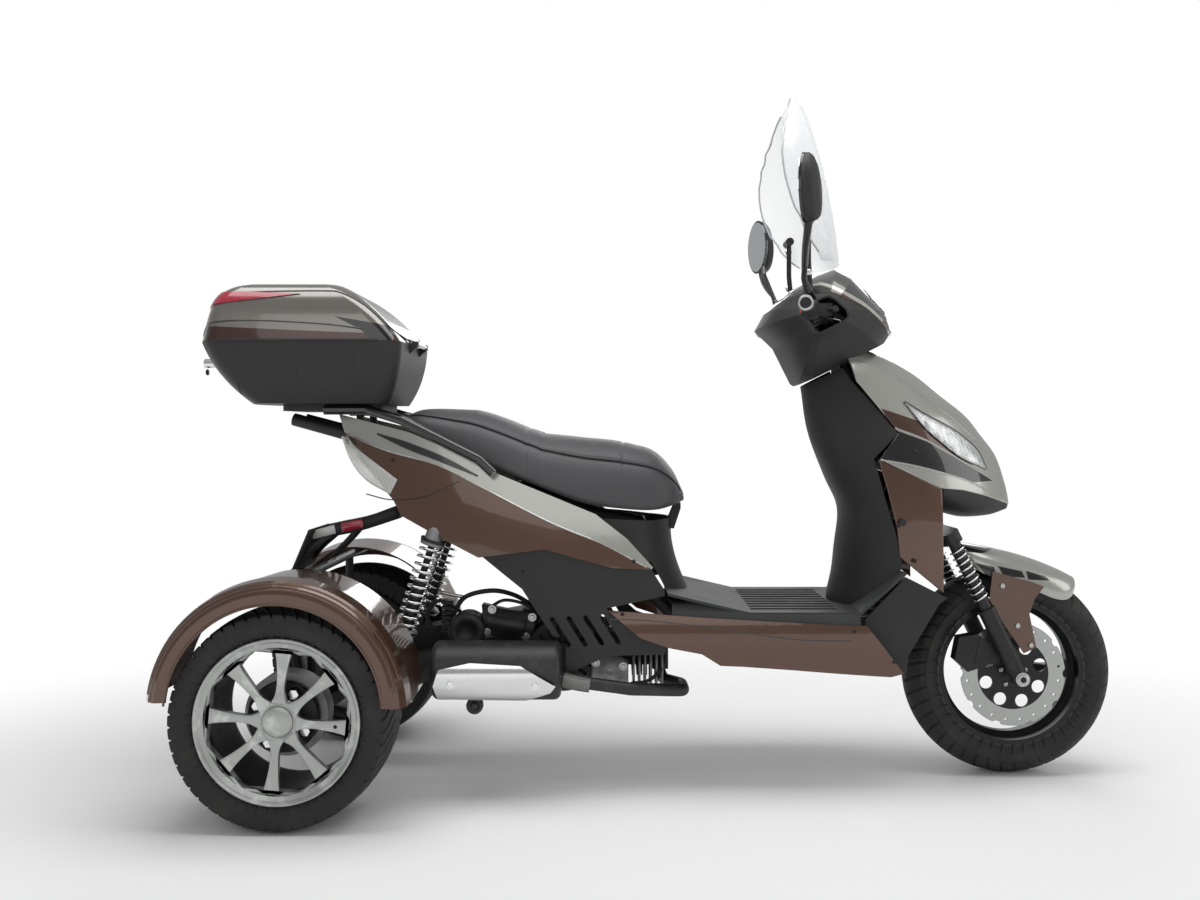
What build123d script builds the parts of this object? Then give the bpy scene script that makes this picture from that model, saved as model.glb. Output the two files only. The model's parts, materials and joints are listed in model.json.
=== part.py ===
from build123d import *
import os
from math import cos, radians, sin, sqrt, tan

# Trike scooter: a step-through scooter with one steered front wheel and two wide rear wheels.
# +X forward, +Y to the rider's left, +Z up; origin on the ground under the middle of the overall length.
# All sizes in millimetres. Right-hand pieces lie on the -Y side.

# ---------------------------------------------------------------- driving dimensions
OVERALL_LENGTH = 2155.0
OVERALL_WIDTH = 900.0
WHEELBASE = 1610.0
SEAT_GAP = 0.4  # gap between fixed pieces that seat on each other
MOVE_GAP = 6.0  # clearance between pieces that move past each other
RUN_GAP = 0.4  # running gap at shafts, pins and bearings

# front wheel
FRONT_TYRE_R = 243.0
FRONT_TYRE_W = 124.0
FRONT_BEAD_R = 165.0
FRONT_FLANGE_R = 178.0
FRONT_RIM_HALF = 47.0
FRONT_SPOKES = 6
FRONT_HUB_HALF = 52.0
DISC_R = 122.0
DISC_T = 4.0
FRONT_AXLE_X = OVERALL_LENGTH / 2 - FRONT_TYRE_R
FRONT_AXLE_R = 7.0

# steering
RAKE = 26.0  # steering axis from the vertical, degrees
FORK_OFFSET = 25.0  # legs ahead of the steering axis
FORK_HALF_SPAN = 100.0
SLIDER_R = 20.0
STANCHION_R = 14.0
NECK_Z = 972.0  # height on the steering axis where the bar cover parts from the body
CROWN_Z = 566.0  # height on the steering axis of the fork crown
BAR_Z = 1068.0  # height on the steering axis of the handlebar
GRIP_Y = 330.0
GRIP_R = 16.0

# rear wheels
REAR_TYRE_R = 226.0
REAR_TYRE_W = 198.0
REAR_BEAD_R = 152.5
REAR_FLANGE_R = 169.0
REAR_RIM_HALF = 94.0
REAR_SPOKES = 8
REAR_AXLE_X = FRONT_AXLE_X - WHEELBASE
REAR_SHAFT_R = 14.0
LUG_PCD = 110.0
FACE_T = 16.0
FACE_INSET = 8.0  # spoked face behind the outer flange
HUB_DEPTH = 52.0  # mounting flange behind the spoked face

# rear fenders
FENDER_R = 265.0
FENDER_LIP_R = 214.0
FENDER_RISE = 24.0
FENDER_T = 4.0
FENDER_CLEAR = 14.0
FENDER_OUT_Y = OVERALL_WIDTH / 2
REAR_WHEEL_Y = FENDER_OUT_Y - FENDER_T - FENDER_CLEAR - REAR_TYRE_W / 2
FENDER_IN_Y = REAR_WHEEL_Y - REAR_TYRE_W / 2 - 10.0

# body
FLOOR_Z = 409.0
FLOOR_HALF_W = 190.0
FLOOR_T = 6.0
SHELL_T = 4.0
RAIL_R = 15.0
RAIL_Y = 90.0
RAIL_Z = 386.0
SPINE_R = 22.0
HEAD_R = 27.0
STEM_R = 13.0

# top case
BOX_FLOOR_Z = 873.0
BOX_SEAM_Z = 1012.0
BOX_TOP_Z = 1143.0
BOX_HALF_W = 195.0
BOX_FRONT_X = -574.0
BOX_SIDE_REAR_X = -1002.0
BOX_REAR_X = -1060.0
BOX_T = 4.0
BOX_HINGE_X = -562.0
BOX_HINGE_Z = 1014.0
BOX_PIN_R = 2.5
LOCK_REAR_X = -OVERALL_LENGTH / 2

# seat
SEAT_HINGE_X = 52.0
SEAT_HINGE_Z = 634.0
SEAT_TUBE_X = -350.0

RAKE_RAD = radians(RAKE)
STEER_FOOT_X = FRONT_AXLE_X - FORK_OFFSET / cos(RAKE_RAD)


def steer_x(z):
    """X of the steering axis at height z."""
    return STEER_FOOT_X - (z - FRONT_TYRE_R) * tan(RAKE_RAD)


def steer_plane(z):
    """Plane square to the steering axis where the axis is at height z: local x forward, local y left."""
    return Plane(origin=(steer_x(z), 0, z), x_dir=(cos(RAKE_RAD), 0, sin(RAKE_RAD)),
                 z_dir=(-sin(RAKE_RAD), 0, cos(RAKE_RAD)))


def radius_plane(x, y, z):
    """Plane through a wheel centre for profiles given as (radius, distance along the axle)."""
    return Plane(origin=(x, y, z), x_dir=(1, 0, 0), z_dir=(0, 0, 1))


def disc_plane(x, y, z):
    """Plane square to the axle: local x forward, local y up, extruding towards the right."""
    return Plane(origin=(x, y, z), x_dir=(1, 0, 0), z_dir=(0, -1, 0))


def axle_axis(x, z):
    return Axis((x, 0, z), (0, 1, 0))


os.makedirs("parts", exist_ok=True)


def keep(part, name):
    """Label a finished piece and write its STEP file."""
    part.label = name
    export_step(part, f"parts/{name}.step")
    print(name, part.is_valid, round(part.volume), len(part.solids()))


# ---------------------------------------------------------------- shared builders
def prism(points, y_from, y_to):
    """Block with the side outline given as (x, z) points, between two Y values."""
    with BuildPart() as block:
        with BuildSketch(Plane.XZ.offset(-y_to)):
            with BuildLine():
                Polyline(*points, close=True)
            make_face()
        extrude(amount=y_to - y_from)
    return block.part


def bar(points, radius, bend):
    """Round bar along a polyline with rounded corners."""
    with BuildPart() as rod:
        with BuildLine() as path:
            if len(points) > 2:
                FilletPolyline(*points, radius=bend)
            else:
                Line(*points)
        with BuildSketch(Plane(origin=path.line @ 0, z_dir=path.line % 0)):
            Circle(radius)
        sweep()
    return rod.part


def level_band(z, edge_x, half_w, nose_x, wall, reach, belly):
    """Thin U-shaped section at height z: from the side edges round a nose on the middle plane."""
    sign = 1 if nose_x > edge_x else -1
    with BuildSketch(Plane.XY.offset(z)) as band:
        with BuildLine():
            mid_x = edge_x + reach * (nose_x - edge_x)
            outer = Spline((edge_x, -half_w), (mid_x, -belly * half_w), (nose_x, 0), (mid_x, belly * half_w),
                           (edge_x, half_w))
            inner_w = half_w - wall
            inner_x = mid_x - sign * wall * 0.5
            inner = Spline((edge_x, -inner_w), (inner_x, -belly * inner_w), (nose_x - sign * wall, 0),
                           (inner_x, belly * inner_w), (edge_x, inner_w))
            Line(outer @ 0, inner @ 0)
            Line(outer @ 1, inner @ 1)
        make_face()
    return band.sketch


def side_band(x, points, wall):
    """Thin upright section at station x on the right side, outer skin through (half width, z) points."""
    with BuildSketch(Plane.YZ.offset(x)) as band:
        with BuildLine():
            outer = Spline(*[(-w, z) for w, z in points])
            inner = Spline(*[(-w + wall, z) for w, z in points])
            Line(outer @ 0, inner @ 0)
            Line(outer @ 1, inner @ 1)
        make_face()
    return band.sketch


def level_area(z, edge_x, half_w, nose_x, reach, belly):
    """Filled U-shaped section at height z, closed straight across its side edges."""
    with BuildSketch(Plane.XY.offset(z)) as area:
        with BuildLine():
            mid_x = edge_x + reach * (nose_x - edge_x)
            rim = Spline((edge_x, -half_w), (mid_x, -belly * half_w), (nose_x, 0), (mid_x, belly * half_w),
                         (edge_x, half_w))
            Line(rim @ 1, rim @ 0)
        make_face()
    return area.sketch


def side_area(x, points):
    """Filled upright section at station x between the left and right skins."""
    with BuildSketch(Plane.YZ.offset(x)) as area:
        with BuildLine():
            right = Spline(*[(-w, z) for w, z in points])
            left = Spline(*[(w, z) for w, z in points])
            Line(right @ 0, left @ 0)
            Line(right @ 1, left @ 1)
        make_face()
    return area.sketch


def cross_tube(x, z, radius, block):
    """Round bar across the body, trimmed to the given block."""
    with BuildPart() as tube:
        with BuildSketch(Plane.XZ.offset(-OVERALL_WIDTH / 2)):
            with Locations((x, z)):
                Circle(radius)
        extrude(amount=OVERALL_WIDTH)
        add(block, mode=Mode.INTERSECT)
    return tube.part


# ---------------------------------------------------------------- wheels
def tyre(x, y, z, outer_r, width, bead_r, flange_r, rim_half, shoulder, crown, wall):
    """Hollow tyre carcass, open towards the rim."""
    half = width / 2
    seat = rim_half - 8
    sidewall_r = (outer_r + flange_r) / 2
    with BuildPart() as carcass:
        with BuildSketch(radius_plane(x, y, z)):
            with BuildLine():
                Line((bead_r + SEAT_GAP, seat - 14), (bead_r + SEAT_GAP, seat))
                Line((bead_r + SEAT_GAP, seat), (flange_r + 1.5, seat + 1))
                Spline((flange_r + 1.5, seat + 1), (sidewall_r, half), (outer_r - crown, shoulder),
                       tangents=[(0.35, 1), (0.9, -0.6)])
                ThreePointArc((outer_r - crown, shoulder), (outer_r, 0), (outer_r - crown, -shoulder))
                Spline((outer_r - crown, -shoulder), (sidewall_r, -half), (flange_r + 1.5, -seat - 1),
                       tangents=[(-0.9, -0.6), (-0.35, 1)])
                Line((flange_r + 1.5, -seat - 1), (bead_r + SEAT_GAP, -seat))
                Line((bead_r + SEAT_GAP, -seat), (bead_r + SEAT_GAP, -seat + 14))
                inner_r = outer_r - crown - wall
                Polyline((bead_r + SEAT_GAP, -seat + 14), (flange_r, -seat + 10), (sidewall_r, -half + wall),
                         (inner_r, -shoulder + wall), (outer_r - wall * 1.3, 0), (inner_r, shoulder - wall),
                         (sidewall_r, half - wall), (flange_r, seat - 10), (bead_r + SEAT_GAP, seat - 14))
            make_face()
        revolve(axis=axle_axis(x, z))
    return carcass.part


def rim_barrel(bead_r, flange_r, rim_half, well, wall):
    """Half-open rim section as (radius, axle) points: flanges, bead seats and a drop centre."""
    outer = [(flange_r, -rim_half), (flange_r, -rim_half + 5), (bead_r, -rim_half + 8), (bead_r, -rim_half + 24),
             (bead_r - well, -rim_half + 34), (bead_r - well, rim_half - 34), (bead_r, rim_half - 24),
             (bead_r, rim_half - 8), (flange_r, rim_half - 5), (flange_r, rim_half)]
    inner = [(bead_r - wall, rim_half), (bead_r - wall, rim_half - 27), (bead_r - well - wall, rim_half - 37),
             (bead_r - well - wall, -rim_half + 37), (bead_r - wall, -rim_half + 27), (bead_r - wall, -rim_half)]
    return outer + inner


with BuildPart() as front_rim:
    with BuildSketch(radius_plane(FRONT_AXLE_X, 0, FRONT_TYRE_R)):
        with BuildLine():
            Polyline(*rim_barrel(FRONT_BEAD_R, FRONT_FLANGE_R, FRONT_RIM_HALF, 12, 6), close=True)
        make_face()
        with BuildLine():
            Polyline((FRONT_AXLE_R + RUN_GAP, -FRONT_HUB_HALF), (30, -FRONT_HUB_HALF), (36, -14), (36, 14),
                     (30, FRONT_HUB_HALF), (FRONT_AXLE_R + RUN_GAP, FRONT_HUB_HALF), close=True)
        make_face()
    revolve(axis=axle_axis(FRONT_AXLE_X, FRONT_TYRE_R))
    with BuildSketch(disc_plane(FRONT_AXLE_X, 0, FRONT_TYRE_R)):
        spoke_end = FRONT_BEAD_R - 15
        with PolarLocations(0, FRONT_SPOKES, start_angle=50):
            with BuildLine():
                Polyline((26, -17), (90, -11), (spoke_end, -19), (spoke_end, 19), (90, 11), (26, 17), close=True)
            make_face()
        Circle(FRONT_AXLE_R + RUN_GAP, mode=Mode.SUBTRACT)
    extrude(amount=12, both=True)
keep(front_rim.part, "front_rim")

front_tyre = tyre(FRONT_AXLE_X, 0, FRONT_TYRE_R, FRONT_TYRE_R, FRONT_TYRE_W, FRONT_BEAD_R, FRONT_FLANGE_R,
                  FRONT_RIM_HALF, 55, 24, 8)
keep(front_tyre, "front_tyre")

DISC_Y = FRONT_HUB_HALF + 3
with BuildPart() as front_disc:
    with BuildSketch(disc_plane(FRONT_AXLE_X, -DISC_Y, FRONT_TYRE_R)):
        Circle(DISC_R)
        with PolarLocations(DISC_R + 7, 10):
            Circle(13, mode=Mode.SUBTRACT)
        with PolarLocations(DISC_R - 14, 20, start_angle=9):
            Circle(3.2, mode=Mode.SUBTRACT)
        with PolarLocations(66, 8, start_angle=18):
            Circle(15, mode=Mode.SUBTRACT)
        Circle(20, mode=Mode.SUBTRACT)
    extrude(amount=DISC_T)
    with BuildSketch(disc_plane(FRONT_AXLE_X, -FRONT_HUB_HALF - SEAT_GAP, FRONT_TYRE_R)):
        Circle(29)
        Circle(20, mode=Mode.SUBTRACT)
    extrude(amount=DISC_Y - FRONT_HUB_HALF - SEAT_GAP)
keep(front_disc.part, "front_disc")

FACE_Y = REAR_WHEEL_Y + REAR_RIM_HALF - FACE_INSET  # outer side of the spoked face
HUB_Y = FACE_Y - HUB_DEPTH  # mounting face of the rim

with BuildPart() as rear_rim:
    with BuildSketch(radius_plane(REAR_AXLE_X, -REAR_WHEEL_Y, REAR_TYRE_R)):
        with BuildLine():
            Polyline(*rim_barrel(REAR_BEAD_R, REAR_FLANGE_R, REAR_RIM_HALF, 14, 6), close=True)
        make_face()
    revolve(axis=axle_axis(REAR_AXLE_X, REAR_TYRE_R))
    with BuildSketch(disc_plane(REAR_AXLE_X, -FACE_Y + FACE_T, REAR_TYRE_R)):
        Circle(REAR_BEAD_R - 4)
        Circle(26, mode=Mode.SUBTRACT)
        with BuildSketch(mode=Mode.PRIVATE) as window:
            with Locations((72, 0)):
                Circle(13)
            with Locations((129, 30), (129, -30)):
                Circle(6)
            make_hull()
        with PolarLocations(0, REAR_SPOKES, start_angle=17.5):
            add(window.sketch, mode=Mode.SUBTRACT)
    extrude(amount=FACE_T)
    with BuildSketch(radius_plane(REAR_AXLE_X, 0, REAR_TYRE_R)):
        with BuildLine():
            Polyline((REAR_SHAFT_R + 8, -HUB_Y), (72, -HUB_Y), (72, -HUB_Y - 10), (43, -HUB_Y - 12),
                     (37, -FACE_Y + FACE_T / 2), (27, -FACE_Y + FACE_T / 2), (30, -HUB_Y - 12),
                     (REAR_SHAFT_R + 8, -HUB_Y - 12), close=True)
        make_face()
    revolve(axis=axle_axis(REAR_AXLE_X, REAR_TYRE_R))
keep(rear_rim.part, "rear_rim_right")
keep(rear_rim.part.mirror(Plane.XZ), "rear_rim_left")

rear_tyre = tyre(REAR_AXLE_X, -REAR_WHEEL_Y, REAR_TYRE_R, REAR_TYRE_R, REAR_TYRE_W, REAR_BEAD_R, REAR_FLANGE_R,
                 REAR_RIM_HALF, 88, 7, 9)
keep(rear_tyre, "rear_tyre_right")
keep(rear_tyre.mirror(Plane.XZ), "rear_tyre_left")

# hubs: flange, brake drum and half shaft, turning with each rear wheel
AXLE_TUBE_END = FENDER_IN_Y - 12.0
with BuildPart() as rear_hub:
    with BuildSketch(radius_plane(REAR_AXLE_X, 0, REAR_TYRE_R)):
        with BuildLine():
            Polyline((0, -HUB_Y - 30), (19, -HUB_Y - 30), (19, -HUB_Y - 2), (21, -HUB_Y + SEAT_GAP),
                     (72, -HUB_Y + SEAT_GAP), (72, -HUB_Y + 10), (86, -HUB_Y + 12), (86, -HUB_Y + 58),
                     (80, -HUB_Y + 58), (80, -HUB_Y + 18), (34, -HUB_Y + 18), (30, -AXLE_TUBE_END - MOVE_GAP),
                     (REAR_SHAFT_R, -AXLE_TUBE_END - MOVE_GAP), (REAR_SHAFT_R, -AXLE_TUBE_END + 60),
                     (0, -AXLE_TUBE_END + 60), close=True)
        make_face()
    revolve(axis=axle_axis(REAR_AXLE_X, REAR_TYRE_R))
keep(rear_hub.part, "rear_hub_right")
keep(rear_hub.part.mirror(Plane.XZ), "rear_hub_left")

# ---------------------------------------------------------------- rear axle, engine and exhaust
ENGINE_X = -215.0  # crankshaft
ENGINE_Z = 300.0
MUFFLER_Y = -200.0
MUFFLER_Z = 283.0
MUFFLER_R = 64.0
MUFFLER_REAR_X = -498.0
MUFFLER_FRONT_X = -215.0

AXLE_TUBE_R = 28.0
AXLE_BOX_FRONT = REAR_AXLE_X + 150.0
SHOCK_Y = 149.0
SHOCK_TOP = (-489.0, 618.0)
SHOCK_FOOT = (-590.0, 300.0)
STAY_R = 10.0
STAY_Y = AXLE_TUBE_END - 34.0

with BuildPart() as rear_axle:
    with BuildSketch(radius_plane(REAR_AXLE_X, 0, REAR_TYRE_R)):
        with BuildLine():
            end = AXLE_TUBE_END
            Polyline((0, -end), (44, -end), (44, -end + 10), (AXLE_TUBE_R, -end + 14), (AXLE_TUBE_R, -78), (62, -48),
                     (62, 48), (AXLE_TUBE_R, 78), (AXLE_TUBE_R, end - 14), (44, end - 10), (44, end), (0, end), close=True)
        make_face()
    revolve(axis=axle_axis(REAR_AXLE_X, REAR_TYRE_R))
    with BuildSketch(Plane.XZ.offset(-30)):
        with BuildLine():
            Polyline((REAR_AXLE_X, REAR_TYRE_R + 48), (AXLE_BOX_FRONT, REAR_TYRE_R + 40), (AXLE_BOX_FRONT, REAR_TYRE_R - 24),
                     (REAR_AXLE_X, REAR_TYRE_R - 40), close=True)
        make_face()
    extrude(amount=60)
    # arms that carry the feet of the shocks
    for side in (-1, 1):
        with BuildSketch(Plane.XZ.offset(side * SHOCK_Y + 6)):
            with BuildLine():
                foot_x, foot_z = SHOCK_FOOT
                Polyline((REAR_AXLE_X, REAR_TYRE_R + 24), (foot_x - 14, foot_z - 3), (foot_x + 14, foot_z - 3),
                         (foot_x + 10, foot_z - 20), (REAR_AXLE_X, REAR_TYRE_R - 22), close=True)
            make_face()
        extrude(amount=-12)
    # stay that carries the fenders
    stay_z = REAR_TYRE_R + FENDER_RISE + FENDER_R - 6 - FENDER_T - STAY_R - SEAT_GAP
    add(bar([(REAR_AXLE_X, -FENDER_OUT_Y + 90, stay_z), (REAR_AXLE_X, FENDER_OUT_Y - 90, stay_z)], STAY_R, 0))
    for side in (-1, 1):
        add(bar([(REAR_AXLE_X, side * STAY_Y, stay_z), (REAR_AXLE_X, side * STAY_Y, REAR_TYRE_R + 10)], STAY_R, 0))
    with BuildSketch(disc_plane(REAR_AXLE_X, end + 1, REAR_TYRE_R)):
        Circle(REAR_SHAFT_R + RUN_GAP)
    extrude(amount=2 * end + 2, mode=Mode.SUBTRACT)
keep(rear_axle.part, "rear_axle")

with BuildPart() as engine:
    with BuildSketch(Plane.XZ.offset(-60)):
        with BuildLine():
            Polyline((-310, 398), (-160, 392), (-132, 350), (-132, 240), (-190, 216), (-330, 226), (-370, 300), close=True)
        make_face()
    extrude(amount=140)
    with BuildSketch(Plane.XZ.offset(-136)):
        with Locations((ENGINE_X, ENGINE_Z)):
            Circle(92)
        with Locations((-560, 262)):
            Circle(66)
        make_hull()
    extrude(amount=76)
    # cylinder barrel and head, lying forward, with cooling fins
    with Locations((-70, -10, ENGINE_Z)):
        Box(130, 76, 76)
    with Locations((8, -10, ENGINE_Z)):
        Box(40, 96, 92)
    with Locations(*[(-122 + 11 * i, -10, ENGINE_Z) for i in range(10)]):
        Box(3, 118, 116)
    # carrier tying the cases to the axle housing
    with BuildSketch(Plane.XZ.offset(-30)):
        with BuildLine():
            carrier_x = AXLE_BOX_FRONT + SEAT_GAP
            Polyline((-320, 340), (-320, 255), (carrier_x, REAR_TYRE_R - 24), (carrier_x, REAR_TYRE_R + 40), close=True)
        make_face()
    extrude(amount=60)
    # bracket to the muffler
    with Locations((-345, -110, MUFFLER_Z + 16)):
        Box(40, 70, 34)
    with BuildSketch(Plane.YZ.offset(-400)):
        with Locations((MUFFLER_Y, MUFFLER_Z)):
            Circle(MUFFLER_R + SEAT_GAP)
    extrude(amount=120, mode=Mode.SUBTRACT)
keep(engine.part, "engine")

with BuildPart() as fan_cover:
    with BuildSketch(disc_plane(ENGINE_X, -80 - SEAT_GAP, ENGINE_Z)):
        Circle(88)
    extrude(amount=44, taper=8)
    with BuildSketch(disc_plane(ENGINE_X, -110, ENGINE_Z)):
        with PolarLocations(48, 18):
            SlotOverall(44, 8)
    extrude(amount=20, mode=Mode.SUBTRACT)
keep(fan_cover.part, "fan_cover")

with BuildPart() as muffler:
    with BuildSketch(Plane.YZ.offset(MUFFLER_REAR_X)):
        with Locations((MUFFLER_Y, MUFFLER_Z)):
            Circle(MUFFLER_R)
    extrude(amount=MUFFLER_FRONT_X - MUFFLER_REAR_X)
    fillet(edges().filter_by(GeomType.CIRCLE), 16)
keep(muffler.part, "muffler")

with BuildPart() as muffler_guard:
    with BuildSketch(Plane.YZ.offset(MUFFLER_REAR_X + 8)):
        with Locations((MUFFLER_Y, MUFFLER_Z)):
            Circle(MUFFLER_R + 9)
            Circle(MUFFLER_R + 6, mode=Mode.SUBTRACT)
    extrude(amount=MUFFLER_FRONT_X - MUFFLER_REAR_X - 12)
    guard_outline = [(-488, 262), (-476, 298), (-409, 312), (-300, 306), (-224, 262), (-236, 246), (-290, 226), (-480, 230)]
    add(prism(guard_outline, MUFFLER_Y - MUFFLER_R - 20, MUFFLER_Y), mode=Mode.INTERSECT)
    with BuildSketch(Plane.XZ.offset(-MUFFLER_Y + MUFFLER_R - 6)):
        with Locations((-450, 268), (-268, 264)):
            Circle(6)
    extrude(amount=16)
    with BuildSketch(Plane.YZ.offset(MUFFLER_REAR_X)):
        with Locations((MUFFLER_Y, MUFFLER_Z)):
            Circle(MUFFLER_R + SEAT_GAP)
    extrude(amount=300, mode=Mode.SUBTRACT)
keep(muffler_guard.part, "muffler_guard")

with BuildPart() as exhaust_pipe:
    add(bar([(10, -10, 253.6), (10, -10, 222), (58, -70, 222), (58, -150, 226), (-60, -198, 240),
             (MUFFLER_FRONT_X - 4, -200, 262)], 14, 24))
    add(prism([(-300, 150), (MUFFLER_FRONT_X + SEAT_GAP, 150), (MUFFLER_FRONT_X + SEAT_GAP, 400), (-300, 400)], -300, 0),
        mode=Mode.SUBTRACT)
keep(exhaust_pipe.part, "exhaust_pipe")

# ---------------------------------------------------------------- body surfaces
SKIRT_STATIONS = [(-140, -8), (60, 0), (260, 4), (420, 2), (560, -12)]
SKIRT_PROFILE = [(6, 250), (16, 300), (21, 350), (14, 400), (2, 425)]


def skirt_skin(grow):
    """Right-hand skirt under the floor's edge as one skin, grown outwards by the given amount."""
    with BuildPart() as skin:
        loft([side_band(x, [(FLOOR_HALF_W + bulge + d + grow, z) for bulge, z in SKIRT_PROFILE], SHELL_T)
              for x, d in SKIRT_STATIONS])
    return skin.part


APRON_LEVELS = [(1012, 78, 462), (990, 104, 540), (950, 128, 612), (900, 145, 675), (849, 158, 738), (800, 168, 778),
                (754, 176, 812), (700, 182, 832), (641, 186, 845), (560, 188, 846), (430, 184, 846)]


def apron_shell(grow, wall):
    """Front shell as one skin, grown outwards by the given amount."""
    with BuildPart() as shell:
        loft([level_band(z, 400, w + grow, nose + grow, wall, 0.58, 0.76) for z, w, nose in APRON_LEVELS])
    return shell.part


def apron_block(grow):
    """Solid inside the front shell's outer surface."""
    with BuildPart() as block:
        loft([level_area(z, 400, w + grow, nose + grow, 0.58, 0.76) for z, w, nose in APRON_LEVELS])
    return block.part


FLANK = [(20, [(186, 470), (182, 560), (160, 660)]), (-150, [(200, 480), (196, 580), (172, 690)]),
         (-300, [(196, 510), (190, 620), (162, 740)]), (-450, [(176, 540), (170, 660), (146, 800)]),
         (-600, [(140, 610), (136, 720), (118, 840)]), (-750, [(92, 680), (90, 760), (82, 870)])]


def flank_skin(grow):
    """Right-hand rear body side as one skin."""
    with BuildPart() as skin:
        loft([side_band(x, [(w + grow, z) for w, z in points], SHELL_T) for x, points in FLANK])
    return skin.part


def flank_block(grow):
    """Solid between the two rear body sides."""
    with BuildPart() as block:
        loft([side_area(x, [(w + grow, z) for w, z in points]) for x, points in FLANK])
    return block.part


def cover_points(points, grow):
    """Outer line of the covers that tuck in under the rear body sides."""
    low_w = points[0][0]
    return [(low_w - 10 + grow, 268), (low_w - 3 + grow, 400)] + [(w + grow, z) for w, z in points[:2]]


COVER_INSET = SHELL_T + 1.0


def covers_block(grow):
    """Solid between the two lower covers."""
    with BuildPart() as block:
        loft([side_area(x, cover_points(points, grow - COVER_INSET)) for x, points in FLANK[:4]])
    return block.part


# ---------------------------------------------------------------- frame
def seat_rail(side, radius):
    """Main rail of one side, from under the floor up to the tail."""
    return bar([(446, side * RAIL_Y, RAIL_Z), (40, side * RAIL_Y, RAIL_Z), (-30, side * RAIL_Y, RAIL_Z + 64),
                (-230, side * (RAIL_Y + 10), 590), (-560, side * (RAIL_Y - 6), 760), (-850, side * 48, 838)], radius, 50)


with BuildPart() as frame:
    with BuildSketch(steer_plane(602)):
        Circle(HEAD_R)
    extrude(amount=250)
    add(bar([(steer_x(700), 0, 700), (520, 0, 540), (500, 0, 450), (446, 0, RAIL_Z)], SPINE_R, 40))
    add(bar([(446, -RAIL_Y, RAIL_Z), (446, RAIL_Y, RAIL_Z)], RAIL_R, 0))
    for side in (-1, 1):
        add(seat_rail(side, RAIL_R))
        # shock tower
        add(bar([(-430, side * RAIL_Y, 693), (SHOCK_TOP[0], side * (SHOCK_Y - 45), 640),
                 (SHOCK_TOP[0], side * (SHOCK_Y + 8), SHOCK_TOP[1])], 9, 12))
        # stay to the wheel well
        add(bar([(446, side * 62, RAIL_Z), (591.5, side * 62, RAIL_Z)], 9, 0))
    for x, z, y in ((250, RAIL_Z, RAIL_Y), (-560, 758, RAIL_Y - 8), (-800, 824, 52)):
        add(bar([(x, -y, z), (x, y, z)], 11, 0))
    # cross tubes that carry the body sides, covers and front shell
    add(cross_tube(-42, RAIL_Z + 72, 11, covers_block(-SHELL_T - SEAT_GAP)))
    add(cross_tube(SEAT_TUBE_X, 652, 8, flank_block(-SHELL_T - SEAT_GAP)))
    add(cross_tube(-450, 703, 8, flank_block(-SHELL_T - SEAT_GAP)))
    add(cross_tube(547, 606, 8, apron_block(-SHELL_T - SEAT_GAP)))
    add(cross_tube(steer_x(770) + HEAD_R + 8, 770, 8, apron_block(-SHELL_T - SEAT_GAP)))
    # hanger over the crankcase
    add(prism([(-200, 394.2), (-165, 392.8), (-34, 450), (-44, 464), (-200, 410)], -12, 12))
    with BuildSketch(steer_plane(590)):
        Circle(STEM_R + RUN_GAP)
    extrude(amount=290, mode=Mode.SUBTRACT)
keep(frame.part, "frame")



def shock_plane(t):
    """Plane square to the right shock, t of the way from its foot to its top."""
    x = SHOCK_FOOT[0] + t * (SHOCK_TOP[0] - SHOCK_FOOT[0])
    z = SHOCK_FOOT[1] + t * (SHOCK_TOP[1] - SHOCK_FOOT[1])
    return Plane(origin=(x, -SHOCK_Y, z), x_dir=(0, 1, 0),
                 z_dir=(SHOCK_TOP[0] - SHOCK_FOOT[0], 0, SHOCK_TOP[1] - SHOCK_FOOT[1]))


SHOCK_LEN = sqrt((SHOCK_TOP[0] - SHOCK_FOOT[0]) ** 2 + (SHOCK_TOP[1] - SHOCK_FOOT[1]) ** 2)
with BuildPart() as rear_shocks:
    with BuildSketch(shock_plane(0)):
        Circle(8)
    extrude(amount=SHOCK_LEN - 9 - SEAT_GAP)
    with BuildSketch(shock_plane(0.18)):
        Circle(30)
    extrude(amount=5)
    with BuildSketch(shock_plane(0.82)):
        Circle(29)
    extrude(amount=6)
    with BuildSketch(shock_plane(0.18)):
        Circle(15)
    extrude(amount=120)
    mirror(about=Plane.XZ)
keep(rear_shocks.part, "rear_shocks")

# ---------------------------------------------------------------- rear fenders
with BuildPart() as fenders:
    centre_z = REAR_TYRE_R + FENDER_RISE
    with BuildSketch(radius_plane(REAR_AXLE_X, 0, centre_z)):
        with BuildLine():
            out = -FENDER_OUT_Y
            outside = Polyline((FENDER_R - 6, -FENDER_IN_Y), (FENDER_R, out + 60), (FENDER_R - 4, out + 26),
                               (FENDER_R - 14, out + 8), (FENDER_R - 28, out), (FENDER_LIP_R, out + 3))
            inside = Polyline((FENDER_R - 6 - FENDER_T, -FENDER_IN_Y), (FENDER_R - FENDER_T, out + 60),
                              (FENDER_R - 4 - FENDER_T, out + 29), (FENDER_R - 16 - FENDER_T, out + 12),
                              (FENDER_R - 29, out + FENDER_T), (FENDER_LIP_R, out + 3 + FENDER_T))
            Line(outside @ 0, inside @ 0)
            Line(outside @ 1, inside @ 1)
        make_face()
    revolve(axis=axle_axis(REAR_AXLE_X, centre_z), revolution_arc=360)
    fender_keep = [(-1100, 272), (-1040, 272), (-775, 268), (-500, 258), (-450, 256), (-450, 560), (-1100, 560)]
    add(prism(fender_keep, -FENDER_OUT_Y - 5, 0), mode=Mode.INTERSECT)
    mirror(about=Plane.XZ)
keep(fenders.part, "fenders")

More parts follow.
